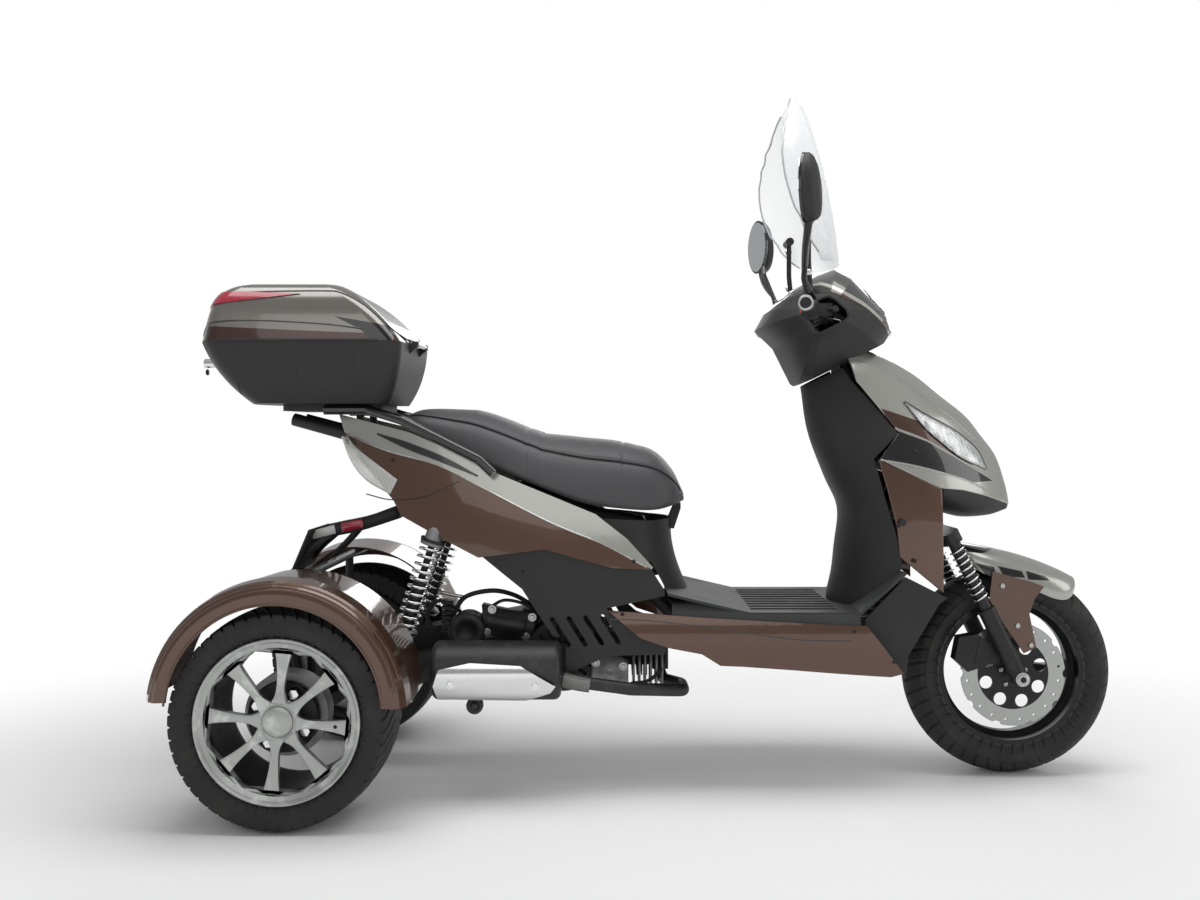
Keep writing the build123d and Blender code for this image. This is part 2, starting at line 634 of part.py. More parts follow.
# ---------------------------------------------------------------- floor and lower body
KICK_TOP = (545, 498)
KICK_FOOT = (447, FLOOR_Z)
FLOOR_REAR = (70, FLOOR_Z + 31)
with BuildPart() as floor_lips:
    add(skirt_skin(-SHELL_T - SEAT_GAP))
    add(prism([(30, 443), (70, FLOOR_Z + 27), (203, FLOOR_Z - 2), (446, FLOOR_Z - 2), (446, 368), (288, 372), (95, 386),
               (30, 400)], -260, -100), mode=Mode.INTERSECT)
    mirror(about=Plane.XZ)

with BuildPart() as floorboard:
    top_line = [(20, FLOOR_Z + 43), FLOOR_REAR, (203, FLOOR_Z), KICK_FOOT, KICK_TOP]
    low_line = [(550, 494), (449, FLOOR_Z - FLOOR_T), (202, FLOOR_Z - FLOOR_T), (69, FLOOR_Z + 25), (20, FLOOR_Z + 37)]
    add(prism(top_line + low_line, -FLOOR_HALF_W - 8, FLOOR_HALF_W + 8))
    add(prism([(420, 380), (420, 520), (560, 520), (560, 380)], -44, 44), mode=Mode.SUBTRACT)
    add(floor_lips.part)
    # ribs along the tread
    for i in range(-4, 5):
        add(prism([(210, FLOOR_Z - 1), (210, FLOOR_Z + 2.4), (404, FLOOR_Z + 2.4), (404, FLOOR_Z - 1)], 36 * i - 6, 36 * i + 6))
keep(floorboard.part, "floorboard")

with BuildPart() as side_skirts:
    add(skirt_skin(0))
    skirt_outline = [(-112, 413), (95, 399), (288, 389), (459, 381), (545, 272), (515, 265), (288, 284), (187, 291),
                     (136, 293), (95, 319), (25, 332), (-41, 354), (-91, 395)]
    add(prism(skirt_outline, -260, -150), mode=Mode.INTERSECT)
    mirror(about=Plane.XZ)
keep(side_skirts.part, "side_skirts")

with BuildPart() as side_covers:
    loft([side_band(x, cover_points(points, -COVER_INSET), SHELL_T) for x, points in FLANK[:4]])
    cover = [(-402, 538), (-255, 557), (-101, 514), (-20, 509), (14, 456), (14, 443), (-116, 417), (-93, 393), (-43, 351),
             (23, 329), (14, 311), (-112, 311), (-199, 272), (-206, 276), (-206, 352), (-234, 354), (-303, 460)]
    add(prism(cover, -260, -100), mode=Mode.INTERSECT)
    with BuildSketch(Plane.XZ.offset(150)):
        with Locations(*[(-218 + 37 * i, 364 + 2 * i) for i in range(4)]):
            SlotOverall(78, 11, rotation=-58)
    extrude(amount=80, mode=Mode.SUBTRACT)
    mirror(about=Plane.XZ)
keep(side_covers.part, "side_covers")

with BuildPart() as lower_cowl:
    cowl = [(463, 392), (463, 361), (552, 258), (558, 309), (627, 424), (645, 438), (552, 484)]
    hollow = [(380, 500), (380, 250), (546, 250), (553, 310), (620, 425), (640, 442), (560, 520)]
    add(prism(cowl, -178, 178))
    add(prism(hollow, -174, 174), mode=Mode.SUBTRACT)
keep(lower_cowl.part, "lower_cowl")

# ---------------------------------------------------------------- upper body skins
NECK = steer_plane(NECK_Z - 4)


def below_neck():
    """Half space under the joint between the body and the bar cover."""
    with BuildPart() as half:
        with BuildSketch(NECK):
            Rectangle(3000, 1200)
        extrude(amount=-2000)
    return half.part


LAMP_OUTLINE = [(563, 877), (609, 847), (688, 808), (752, 760), (768, 722), (688, 754), (620, 808)]
with BuildPart() as apron:
    add(apron_shell(0, SHELL_T))
    upper = [(497, 748), (648, 681), (648, 655), (738, 637), (900, 622), (900, 1060), (380, 1060), (452, 926), (545, 807)]
    add(prism(upper, -260, 260), mode=Mode.INTERSECT)
    add(below_neck(), mode=Mode.INTERSECT)
keep(apron.part, "apron")

with BuildPart() as apron_sides:
    add(apron_shell(0, SHELL_T))
    lower = [(495, 746), (646, 679), (646, 653), (649, 443), (542, 528), (536, 590), (514, 679)]
    add(prism(lower, -260, 260), mode=Mode.INTERSECT)
keep(apron_sides.part, "apron_sides")

with BuildPart() as apron_lamps:
    add(apron_shell(SHELL_T - 0.6, 3))
    add(prism(LAMP_OUTLINE, -260, -30), mode=Mode.INTERSECT)
    mirror(about=Plane.XZ)
keep(apron_lamps.part, "apron_lamps")

SHIELD_LEVELS = [(404, 176, 412), (467, 178, 420), (510, 178, 426), (560, 178, 432), (622, 176, 437), (680, 172, 415),
                 (743, 165, 388), (798, 156, 368), (860, 144, 355), (918, 128, 347), (1000, 84, 342)]
with BuildPart() as leg_shield:
    loft([level_band(z, 620, w, nose, SHELL_T, 0.62, 0.74) for z, w, nose in SHIELD_LEVELS])
    keep_area = [(300, FLOOR_Z + SEAT_GAP), (446.6, FLOOR_Z + SEAT_GAP), (547, 500.4), (548, 508), (534, 590), (510, 679), (492, 748), (542, 805), (449, 927), (376, 1060),
                 (300, 1060)]
    add(prism(keep_area, -260, 260), mode=Mode.INTERSECT)
    add(below_neck(), mode=Mode.INTERSECT)
keep(leg_shield.part, "leg_shield")

PANEL_TOP = [(-720, 806), (-616, 766), (-496, 733), (-389, 682), (-242, 609), (-128, 562), (-15, 503)]
with BuildPart() as side_panels:
    add(flank_skin(0))
    low = [(-101, 507), (-253, 549), (-401, 529), (-468, 562), (-525, 591), (-581, 620), (-598, 653), (-678, 744)]
    add(prism(PANEL_TOP + low, -260, -20), mode=Mode.INTERSECT)
    mirror(about=Plane.XZ)
keep(side_panels.part, "side_panels")

with BuildPart() as side_strips:
    add(flank_skin(0))
    high = [(-12, 508), (-70, 572), (-140, 626), (-243, 668), (-357, 714), (-506, 784), (-560, 806), (-735, 850)]
    add(prism([(x, z + 1) for x, z in PANEL_TOP] + high, -260, -20), mode=Mode.INTERSECT)
    mirror(about=Plane.XZ)
keep(side_strips.part, "side_strips")

SEAT_PIN_R = 3.5
SEAT_LUG_Y = 26.0
with BuildPart() as seat_front_cover:
    levels = [(436, 164, 78), (505, 162, 50), (560, 156, 38), (640, 142, 46)]
    loft([level_band(z, -160, w, nose, SHELL_T, 0.7, 0.84) for z, w, nose in levels])
    add(prism([(-150, 514), (-14, 514), (18, FLOOR_Z + 43.6), FLOOR_REAR, (FLOOR_REAR[0], FLOOR_Z + 32), (90, 443), (90, 606),
               (-15, 606), (-150, 616)], -260, 260), mode=Mode.INTERSECT)
    # lugs and pin of the seat hinge
    for side in (-1, 1):
        add(prism([(30, 580), (43, 580), (SEAT_HINGE_X + 7, SEAT_HINGE_Z - 6), (SEAT_HINGE_X + 7, SEAT_HINGE_Z + 6),
                   (SEAT_HINGE_X - 6, SEAT_HINGE_Z + 6), (30, 602)], side * SEAT_LUG_Y - 4, side * SEAT_LUG_Y + 4))
    with BuildSketch(Plane.XZ.offset(-SEAT_LUG_Y)):
        with Locations((SEAT_HINGE_X, SEAT_HINGE_Z)):
            Circle(SEAT_PIN_R)
    extrude(amount=2 * SEAT_LUG_Y)
keep(seat_front_cover.part, "seat_front_cover")

BUCKET_HALF = RAIL_Y - RAIL_R - SEAT_GAP
with BuildPart() as bucket:
    outer = [(-24, 602), (-24, 500), (-60, 472), (-230, 472), (-330, 600), (-330, 690), (-243, 662), (-140, 624)]
    inner = [(-28, 700), (-28, 502), (-62, 476), (-228, 476), (-326, 602), (-326, 760)]
    add(prism(outer, -BUCKET_HALF, BUCKET_HALF))
    add(prism(inner, -BUCKET_HALF + SHELL_T, BUCKET_HALF - SHELL_T), mode=Mode.SUBTRACT)
    # pad against the cross tube behind
    add(prism([(-329, 636), (SEAT_TUBE_X + 8 + SEAT_GAP, 646), (SEAT_TUBE_X + 8 + SEAT_GAP, 658), (-329, 668)], -30, 30))
keep(bucket.part, "bucket")

# ---------------------------------------------------------------- seat
SEAT_STATIONS = [(64, 62, 650, 668), (36, 112, 641, 722), (-10, 142, 632, 772), (-80, 158, 636, 789), (-170, 166, 650, 797),
                 (-260, 166, 684, 808), (-350, 154, 722, 842), (-450, 142, 770, 862), (-540, 126, 811, 866),
                 (-578, 104, 828, 856)]
with BuildPart() as seat:
    sections = []
    for x, w, low_z, high_z in SEAT_STATIONS:
        with BuildSketch(Plane.YZ.offset(x)) as section:
            rise = high_z - low_z
            with BuildLine():
                Line((-w, low_z), (w, low_z))
                Spline((w, low_z), (w * 0.98, low_z + 0.45 * rise), (w * 0.62, high_z - 0.08 * rise), (0, high_z),
                       (-w * 0.62, high_z - 0.08 * rise), (-w * 0.98, low_z + 0.45 * rise), (-w, low_z))
            make_face()
        sections.append(section.sketch)
    loft(sections)
keep(seat.part, "seat")

with BuildPart() as seat_hinge:
    with BuildSketch(Plane.XZ.offset(-SEAT_LUG_Y + 4 + RUN_GAP)):
        with Locations((SEAT_HINGE_X, SEAT_HINGE_Z)):
            Circle(SEAT_PIN_R + 4)
        with BuildLine():
            Polyline((SEAT_HINGE_X - 7, SEAT_HINGE_Z), (SEAT_HINGE_X - 12, SEAT_HINGE_Z + 9.2),
                     (SEAT_HINGE_X + 6, SEAT_HINGE_Z + 14.0), (SEAT_HINGE_X + 7, SEAT_HINGE_Z), close=True)
        make_face()
        with Locations((SEAT_HINGE_X, SEAT_HINGE_Z)):
            Circle(SEAT_PIN_R + RUN_GAP, mode=Mode.SUBTRACT)
    extrude(amount=2 * (SEAT_LUG_Y - 4 - RUN_GAP))
    add(seat.part, mode=Mode.SUBTRACT)
keep(seat_hinge.part, "seat_hinge")

# ---------------------------------------------------------------- rack and top case
with BuildPart() as rack:
    with BuildSketch(Plane.XY.offset(BOX_FLOOR_Z - 16)):
        with Locations((-750, 0)):
            RectangleRounded(230, 220, 30)
    extrude(amount=16 - SEAT_GAP)
    for side in (-1, 1):
        add(bar([(-690, side * 68, BOX_FLOOR_Z - 12), (-690, side * 68, 800)], 9, 0))
        add(seat_rail(side, RAIL_R + SEAT_GAP), mode=Mode.SUBTRACT)
keep(rack.part, "rack")

with BuildPart() as grab_rails:
    add(bar([(-760, -121.4, 859), (-660, -121.4, 859), (-580, -150, 836), (-400, -186, 748), (-366, -190, 716)], 11, 24))
    mirror(about=Plane.XZ)
keep(grab_rails.part, "grab_rails")


def box_block(levels, inset):
    """Solid with rounded-corner sections and a bowed rear face, one section per level, shrunk by the inset."""
    sections = []
    for z, w, front, side_rear, rear in levels:
        with BuildSketch(Plane.XY.offset(z)) as section:
            with BuildLine():
                Polyline((side_rear + inset, w - inset), (front - inset, w - inset), (front - inset, -w + inset),
                         (side_rear + inset, -w + inset))
                ThreePointArc((side_rear + inset, -w + inset), (rear + inset, 0), (side_rear + inset, w - inset))
            make_face()
            fillet(section.vertices(), 34 - inset)
        sections.append(section.sketch)
    with BuildPart() as block:
        loft(sections)
    return block.part


TUB_LEVELS = [(BOX_FLOOR_Z, 152, -612, -906, -945), (942, 182, -584, -970, -1018),
              (BOX_SEAM_Z - SEAT_GAP / 2, BOX_HALF_W, BOX_FRONT_X, BOX_SIDE_REAR_X, BOX_REAR_X)]
LID_LEVELS = [(BOX_SEAM_Z + SEAT_GAP / 2, BOX_HALF_W, BOX_FRONT_X - 3, BOX_SIDE_REAR_X, BOX_REAR_X), (1072, 190, -624, -992, -1044),
              (1122, 170, -684, -972, -1012), (BOX_TOP_Z, 140, -726, -930, -962)]


def lift(levels, dz):
    return [(z + dz, w, front, side_rear, rear) for z, w, front, side_rear, rear in levels]


with BuildPart() as box_tub:
    add(box_block(TUB_LEVELS, 0))
    add(box_block(lift(TUB_LEVELS, BOX_T), BOX_T), mode=Mode.SUBTRACT)
    # outer knuckles and pin of the lid hinge
    for side in (-1, 1):
        add(prism([(BOX_FRONT_X - 2, BOX_SEAM_Z - 22), (BOX_HINGE_X + 6, BOX_HINGE_Z - 6), (BOX_HINGE_X + 6, BOX_HINGE_Z + 6),
                   (BOX_HINGE_X - 4, BOX_HINGE_Z + 6), (BOX_FRONT_X - 2, BOX_SEAM_Z - SEAT_GAP)],
                  side * 60 - 8, side * 60 + 8))
    with BuildSketch(Plane.XZ.offset(-60)):
        with Locations((BOX_HINGE_X, BOX_HINGE_Z)):
            Circle(BOX_PIN_R)
    extrude(amount=120)
keep(box_tub.part, "box_tub")

with BuildPart() as box_lid:
    add(box_block(LID_LEVELS, 0))
    add(box_block(lift(LID_LEVELS, -BOX_T), BOX_T), mode=Mode.SUBTRACT)
    # middle knuckle of the hinge
    with BuildSketch(Plane.XZ.offset(-52 + RUN_GAP)):
        with Locations((BOX_HINGE_X, BOX_HINGE_Z)):
            Circle(BOX_PIN_R + 3.5)
        with BuildLine():
            Polyline((BOX_HINGE_X, BOX_HINGE_Z - 2), (BOX_HINGE_X, BOX_HINGE_Z + 6), (BOX_FRONT_X - 8, BOX_SEAM_Z + 16),
                     (BOX_FRONT_X - 6, BOX_SEAM_Z + 2), close=True)
        make_face()
        with Locations((BOX_HINGE_X, BOX_HINGE_Z)):
            Circle(BOX_PIN_R + RUN_GAP, mode=Mode.SUBTRACT)
    extrude(amount=2 * (52 - RUN_GAP))
keep(box_lid.part, "box_lid")

with BuildPart() as box_reflector:
    add(box_block(LID_LEVELS, -3))
    add(box_block(LID_LEVELS, -SEAT_GAP), mode=Mode.SUBTRACT)
    add(prism([(-1100, 1076), (-1100, 1118), (-960, 1124), (-800, 1118), (-960, 1098)], -300, 300), mode=Mode.INTERSECT)
keep(box_reflector.part, "box_reflector")

with BuildPart() as box_lock:
    with Locations(Location(((LOCK_REAR_X + BOX_REAR_X + 26) / 2, 0, 972), (0, 90, 0))):
        Cylinder(11, BOX_REAR_X + 26 - LOCK_REAR_X)
    add(box_block(TUB_LEVELS, -SEAT_GAP), mode=Mode.SUBTRACT)
keep(box_lock.part, "box_lock")

# ---------------------------------------------------------------- steering
with BuildPart() as fork:
    with BuildSketch(steer_plane(CROWN_Z)):
        Circle(STEM_R)
    extrude(amount=(BAR_Z - 26 - CROWN_Z) / cos(RAKE_RAD))
    with BuildSketch(steer_plane(CROWN_Z)):
        Circle(24)
        with Locations((FORK_OFFSET, -FORK_HALF_SPAN), (FORK_OFFSET, FORK_HALF_SPAN)):
            Circle(22)
        make_hull()
    extrude(amount=-26)
    foot = (CROWN_Z - FRONT_TYRE_R) / cos(RAKE_RAD)
    for side in (-1, 1):
        with BuildSketch(steer_plane(CROWN_Z)):
            with Locations((FORK_OFFSET, side * FORK_HALF_SPAN)):
                Circle(STANCHION_R)
        extrude(amount=-foot + 60)
        with BuildSketch(steer_plane(CROWN_Z - 175)):
            with Locations((FORK_OFFSET, side * FORK_HALF_SPAN)):
                Circle(SLIDER_R)
        extrude(amount=-foot + 175 / cos(RAKE_RAD) - 18)
        add(prism([(770, 408), (852, 424), (862, 396), (792, 352), (786, 350)], side * 79.4 - 2, side * 79.4 + 2))
    with BuildSketch(disc_plane(FRONT_AXLE_X, FORK_HALF_SPAN + SLIDER_R + 6, FRONT_TYRE_R)):
        Circle(FRONT_AXLE_R)
    extrude(amount=2 * (FORK_HALF_SPAN + SLIDER_R + 6))
keep(fork.part, "fork")

HANDLE = [(303, -GRIP_Y, 1078), (332, -214, 1078), (400, -90, 1074), (404, 0, 1070)]
with BuildPart() as handlebar:
    add(bar([HANDLE[0], HANDLE[1], HANDLE[2], (HANDLE[2][0], -HANDLE[2][1], HANDLE[2][2]),
             (HANDLE[1][0], -HANDLE[1][1], HANDLE[1][2]), (HANDLE[0][0], GRIP_Y, HANDLE[0][2])], 11, 60))
    with BuildSketch(steer_plane(BAR_Z - 60)):
        Circle(STEM_R + 6)
    extrude(amount=60 / cos(RAKE_RAD))
    with BuildSketch(steer_plane(BAR_Z - 62)):
        Circle(STEM_R + SEAT_GAP)
    extrude(amount=37 / cos(RAKE_RAD), mode=Mode.SUBTRACT)
keep(handlebar.part, "handlebar")

GRIP_DIR = Vector(HANDLE[0][0] - HANDLE[1][0], HANDLE[0][1] - HANDLE[1][1], 0)
with BuildPart() as grips:
    with BuildSketch(Plane(origin=HANDLE[1], z_dir=GRIP_DIR).offset(2)):
        Circle(GRIP_R)
        Circle(11 + SEAT_GAP, mode=Mode.SUBTRACT)
    extrude(amount=GRIP_DIR.length)
    with BuildSketch(Plane(origin=HANDLE[0], z_dir=GRIP_DIR).offset(2.4)):
        Circle(GRIP_R + 1)
    extrude(amount=9)
    mirror(about=Plane.XZ)
keep(grips.part, "grips")

with BuildPart() as levers:
    add(bar([(366, -209, 1078), (386, -232, 1076), (366, -316, 1070)], 5.5, 12))
    with Locations((360, -209, 1078)):
        Box(40, 22, 26)
    add(bar([HANDLE[1], HANDLE[2]], 11 + SEAT_GAP, 0), mode=Mode.SUBTRACT)
    add(bar([HANDLE[0], HANDLE[1]], GRIP_R + SEAT_GAP, 0), mode=Mode.SUBTRACT)
    mirror(about=Plane.XZ)
keep(levers.part, "levers")


def cover_section(y, grow_x, grow_z, centre, outline):
    """Side outline scaled about a centre, on the plane at the given Y."""
    with BuildSketch(Plane.XZ.offset(-y)) as section:
        with BuildLine():
            Polyline(*[(centre[0] + grow_x * (x - centre[0]), centre[1] + grow_z * (z - centre[1])) for x, z in outline],
                     close=True)
        make_face()
    return section.sketch


COVER_CENTRE = (356, 1076)
COVER_OUTLINE = [(240, 1052), (262, 1092), (312, 1138), (374, 1178), (418, 1194), (462, 1172), (540, 1090), (556, 1040),
                 (530, 1000), (360, 900), (330, 920), (286, 1008)]


def cover_block(shrink):
    """Bar cover as a solid, widest fore and aft on the middle plane."""
    stations = [(-196, 0.34, 0.30), (-150, 0.62, 0.55), (-80, 0.92, 0.92), (0, 1, 1), (80, 0.92, 0.92), (150, 0.62, 0.55),
                (196, 0.34, 0.30)]
    sections = [cover_section(y, gx - shrink / 150, gz - shrink / 110, COVER_CENTRE, COVER_OUTLINE) for y, gx, gz in stations]
    with BuildPart() as block:
        loft(sections)
    return block.part


def above_neck():
    """Half space over the joint between the body and the bar cover."""
    with BuildPart() as half:
        with BuildSketch(steer_plane(NECK_Z + 3)):
            Rectangle(3000, 1200)
        extrude(amount=2000)
    return half.part


SPLIT_LINE = [(230, 1068), (300, 1118), (380, 1120), (470, 1090), (560, 1018)]
with BuildPart() as bar_cover_lower:
    add(cover_block(0))
    add(cover_block(SHELL_T), mode=Mode.SUBTRACT)
    add(above_neck(), mode=Mode.INTERSECT)
    add(bar([HANDLE[0], HANDLE[1], HANDLE[2], (HANDLE[2][0], -HANDLE[2][1], HANDLE[2][2]),
             (HANDLE[1][0], -HANDLE[1][1], HANDLE[1][2]), (HANDLE[0][0], GRIP_Y, HANDLE[0][2])], 11.5, 60), mode=Mode.SUBTRACT)
    add(prism(SPLIT_LINE + [(600, 800), (200, 800)], -300, 300), mode=Mode.INTERSECT)
keep(bar_cover_lower.part, "bar_cover_lower")

with BuildPart() as bar_cover_upper:
    add(cover_block(0))
    add(cover_block(SHELL_T), mode=Mode.SUBTRACT)
    add(prism([(x, z + 1) for x, z in SPLIT_LINE] + [(560, 1300), (230, 1300)], -300, 300), mode=Mode.INTERSECT)
keep(bar_cover_upper.part, "bar_cover_upper")

with BuildPart() as headlamp:
    add(cover_block(-2.5))
    add(cover_block(-SEAT_GAP), mode=Mode.SUBTRACT)
    add(prism([(486, 1150), (560, 1090), (560, 1032), (520, 1060)], -84, 84), mode=Mode.INTERSECT)
keep(headlamp.part, "headlamp")

MIRROR_C = (292, 366, 1312)
MIRROR_TURN = 22.0
with BuildPart() as mirrors:
    mirror_plane = Plane(origin=(MIRROR_C[0], -MIRROR_C[1], MIRROR_C[2]), x_dir=(sin(radians(MIRROR_TURN)), cos(radians(MIRROR_TURN)), 0),
                         z_dir=(cos(radians(MIRROR_TURN)), -sin(radians(MIRROR_TURN)), 0))
    with BuildSketch(mirror_plane):
        Ellipse(52, 72)
    with BuildSketch(mirror_plane.offset(14)):
        Ellipse(47, 67)
    with BuildSketch(mirror_plane.offset(24)):
        Ellipse(30, 48)
    loft()
    add(bar([(360, -150, 1092), (318, -214, 1146), (306, -330, 1230), (306, -366, 1300)], 6.5, 18))
    add(cover_block(-SEAT_GAP), mode=Mode.SUBTRACT)
    mirror(about=Plane.XZ)
keep(mirrors.part, "mirrors")

with BuildPart() as mirror_glass:
    with BuildSketch(mirror_plane.offset(-SEAT_GAP)):
        Ellipse(47, 67)
    extrude(amount=-2)
    mirror(about=Plane.XZ)
    add(mirrors.part, mode=Mode.SUBTRACT)
keep(mirror_glass.part, "mirror_glass")

SCREEN_T = 3.0
SCREEN_LEVELS = [(1204, 378, 100, 436), (1262, 330, 168, 430), (1340, 290, 196, 418), (1430, 274, 192, 398), (1510, 284, 150, 373),
                 (1572, 306, 88, 348), (1598, 324, 30, 330)]
with BuildPart() as windscreen:
    loft([level_band(z, edge, w, nose, SCREEN_T, 0.62, 0.78) for z, edge, w, nose in SCREEN_LEVELS])
keep(windscreen.part, "windscreen")

with BuildPart() as screen_space:
    loft([level_area(z, edge, w - SCREEN_T - SEAT_GAP, nose - SCREEN_T - SEAT_GAP, 0.62, 0.78)
          for z, edge, w, nose in SCREEN_LEVELS])

with BuildPart() as screen_pads:
    for z in (1225, 1285):
        add(bar([(342, -120, z), (342, -220, z)], 10, 0))
    add(screen_space.part, mode=Mode.INTERSECT)

with BuildPart() as screen_stays:
    add(bar([(350, -128, 1092), (342, -138, 1200), (342, -138, 1294)], 6, 20))
    add(cover_block(-SEAT_GAP), mode=Mode.SUBTRACT)
    add(screen_pads.part)
    mirror(about=Plane.XZ)
keep(screen_stays.part, "screen_stays")


# ---------------------------------------------------------------- front fender and brake
def arch_band(x, half_w, side_z, top_z, wall):
    """Thin arch section across the wheel at station x."""
    with BuildSketch(Plane.YZ.offset(x)) as band:
        with BuildLine():
            outer = Spline((-half_w, side_z), (-half_w * 0.86, side_z + 0.66 * (top_z - side_z)), (0, top_z),
                           (half_w * 0.86, side_z + 0.66 * (top_z - side_z)), (half_w, side_z))
            w = half_w - wall
            inner = Spline((-w, side_z), (-w * 0.86, side_z + 0.66 * (top_z - side_z) - wall), (0, top_z - wall),
                           (w * 0.86, side_z + 0.66 * (top_z - side_z) - wall), (w, side_z))
            Line(outer @ 0, inner @ 0)
            Line(outer @ 1, inner @ 1)
        make_face()
    return band.sketch


with BuildPart() as front_fender:
    levels = [(722, 44, 520, 546), (770, 74, 476, 538), (820, 80, 462, 528), (880, 80, 440, 512), (940, 74, 418, 490),
              (988, 40, 448, 466)]
    loft([arch_band(x, w, low, top, 3.5) for x, w, low, top in levels])
keep(front_fender.part, "front_fender")

FENDER_SIDE_Y = 81.9
with BuildPart() as fender_sides:
    plate = [(897, 450), (866, 462), (820, 474), (778, 486), (770, 420), (798, 373), (850, 296), (879, 309), (863, 387), (876, 423)]
    add(prism(plate, -FENDER_SIDE_Y - 4, -FENDER_SIDE_Y))
    mirror(about=Plane.XZ)
keep(fender_sides.part, "fender_sides")

with BuildPart() as caliper:
    with BuildSketch(disc_plane(FRONT_AXLE_X, -FRONT_HUB_HALF + 8, FRONT_TYRE_R)):
        with BuildLine():
            Polyline((-66, 22), (-112, 8), (-142, 36), (-132, 88), (-88, 96), (-60, 62), close=True)
        make_face()
    extrude(amount=34)
    with BuildSketch(disc_plane(FRONT_AXLE_X, -DISC_Y + MOVE_GAP, FRONT_TYRE_R)):
        Circle(DISC_R + MOVE_GAP)
    extrude(amount=DISC_T + 2 * MOVE_GAP, mode=Mode.SUBTRACT)
    # lug to the fork leg
    with BuildSketch(disc_plane(FRONT_AXLE_X, -66, FRONT_TYRE_R)):
        with BuildLine():
            Polyline((-96, 30), (-30, 24), (-34, 60), (-84, 92), close=True)
        make_face()
    extrude(amount=FORK_HALF_SPAN - SLIDER_R - SEAT_GAP - 66)
keep(caliper.part, "caliper")
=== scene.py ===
"""Trike scooter: its finishes, its small parts and the studio around it, as operators of a sidebar
panel."""
import json
import math

import bmesh
import bpy
import numpy as np
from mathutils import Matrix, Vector


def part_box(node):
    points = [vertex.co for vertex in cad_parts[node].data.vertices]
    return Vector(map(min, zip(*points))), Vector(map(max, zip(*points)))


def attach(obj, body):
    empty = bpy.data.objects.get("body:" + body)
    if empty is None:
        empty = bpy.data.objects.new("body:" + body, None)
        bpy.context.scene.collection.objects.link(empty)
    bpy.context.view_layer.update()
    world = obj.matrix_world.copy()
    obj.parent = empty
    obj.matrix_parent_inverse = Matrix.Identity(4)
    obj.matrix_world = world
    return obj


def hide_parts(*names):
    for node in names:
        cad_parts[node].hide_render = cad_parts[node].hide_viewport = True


bl_info = {
    "name": "Trike Scooter Finish",
    "version": (1, 0, 0),
    "blender": (4, 5, 0),
    "location": "View3D > Sidebar > Trike Scooter",
    "description": "Adds the finishes, treads, seat cover, fasteners and studio of the trike scooter",
    "category": "Object",
}

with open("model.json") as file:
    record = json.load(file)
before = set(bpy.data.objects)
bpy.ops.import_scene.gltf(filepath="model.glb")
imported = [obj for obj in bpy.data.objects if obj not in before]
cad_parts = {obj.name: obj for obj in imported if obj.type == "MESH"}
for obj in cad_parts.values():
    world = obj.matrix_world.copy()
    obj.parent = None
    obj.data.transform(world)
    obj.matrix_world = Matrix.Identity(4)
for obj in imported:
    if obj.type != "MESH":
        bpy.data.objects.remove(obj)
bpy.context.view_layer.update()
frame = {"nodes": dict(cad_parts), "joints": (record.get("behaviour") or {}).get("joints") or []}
NODES = frame["nodes"]
JOINTS = {joint["name"]: joint for joint in frame["joints"]}


# ---------------------------------------------------------------- shader expressions
def math_node(operation, swapped=False):
    """Method of Val that adds the Math node of one operation, its inputs swapped where the value
    stands on the right."""
    def method(self, *others):
        values = (self, *others)
        values = values[::-1] if swapped else values
        made = self.finish.node("ShaderNodeMath", {"operation": operation}, dict(enumerate(values)))
        return Val(self.finish, made.outputs[0])

    return method


class Val:
    """A socket in a shader tree that takes arithmetic: each operator adds the Math node it needs."""

    def __init__(self, finish, socket):
        self.finish = finish
        self.socket = socket

    __add__ = __radd__ = math_node("ADD")
    __sub__ = math_node("SUBTRACT")
    __rsub__ = math_node("SUBTRACT", swapped=True)
    __mul__ = __rmul__ = math_node("MULTIPLY")
    __truediv__ = math_node("DIVIDE")
    __pow__ = math_node("POWER")
    __gt__ = math_node("GREATER_THAN")
    __lt__ = math_node("LESS_THAN")
    __abs__ = math_node("ABSOLUTE")
    wave = math_node("SINE")
    least = math_node("MINIMUM")
    most = math_node("MAXIMUM")

    def step(self, low, high):
        """0 below low, 1 above high, smooth between them."""
        settings = {"interpolation_type": "SMOOTHSTEP"}
        made = self.finish.node("ShaderNodeMapRange", settings,
                                {0: self, 1: low, 2: high, 3: 0.0, 4: 1.0})
        return Val(self.finish, made.outputs[0])


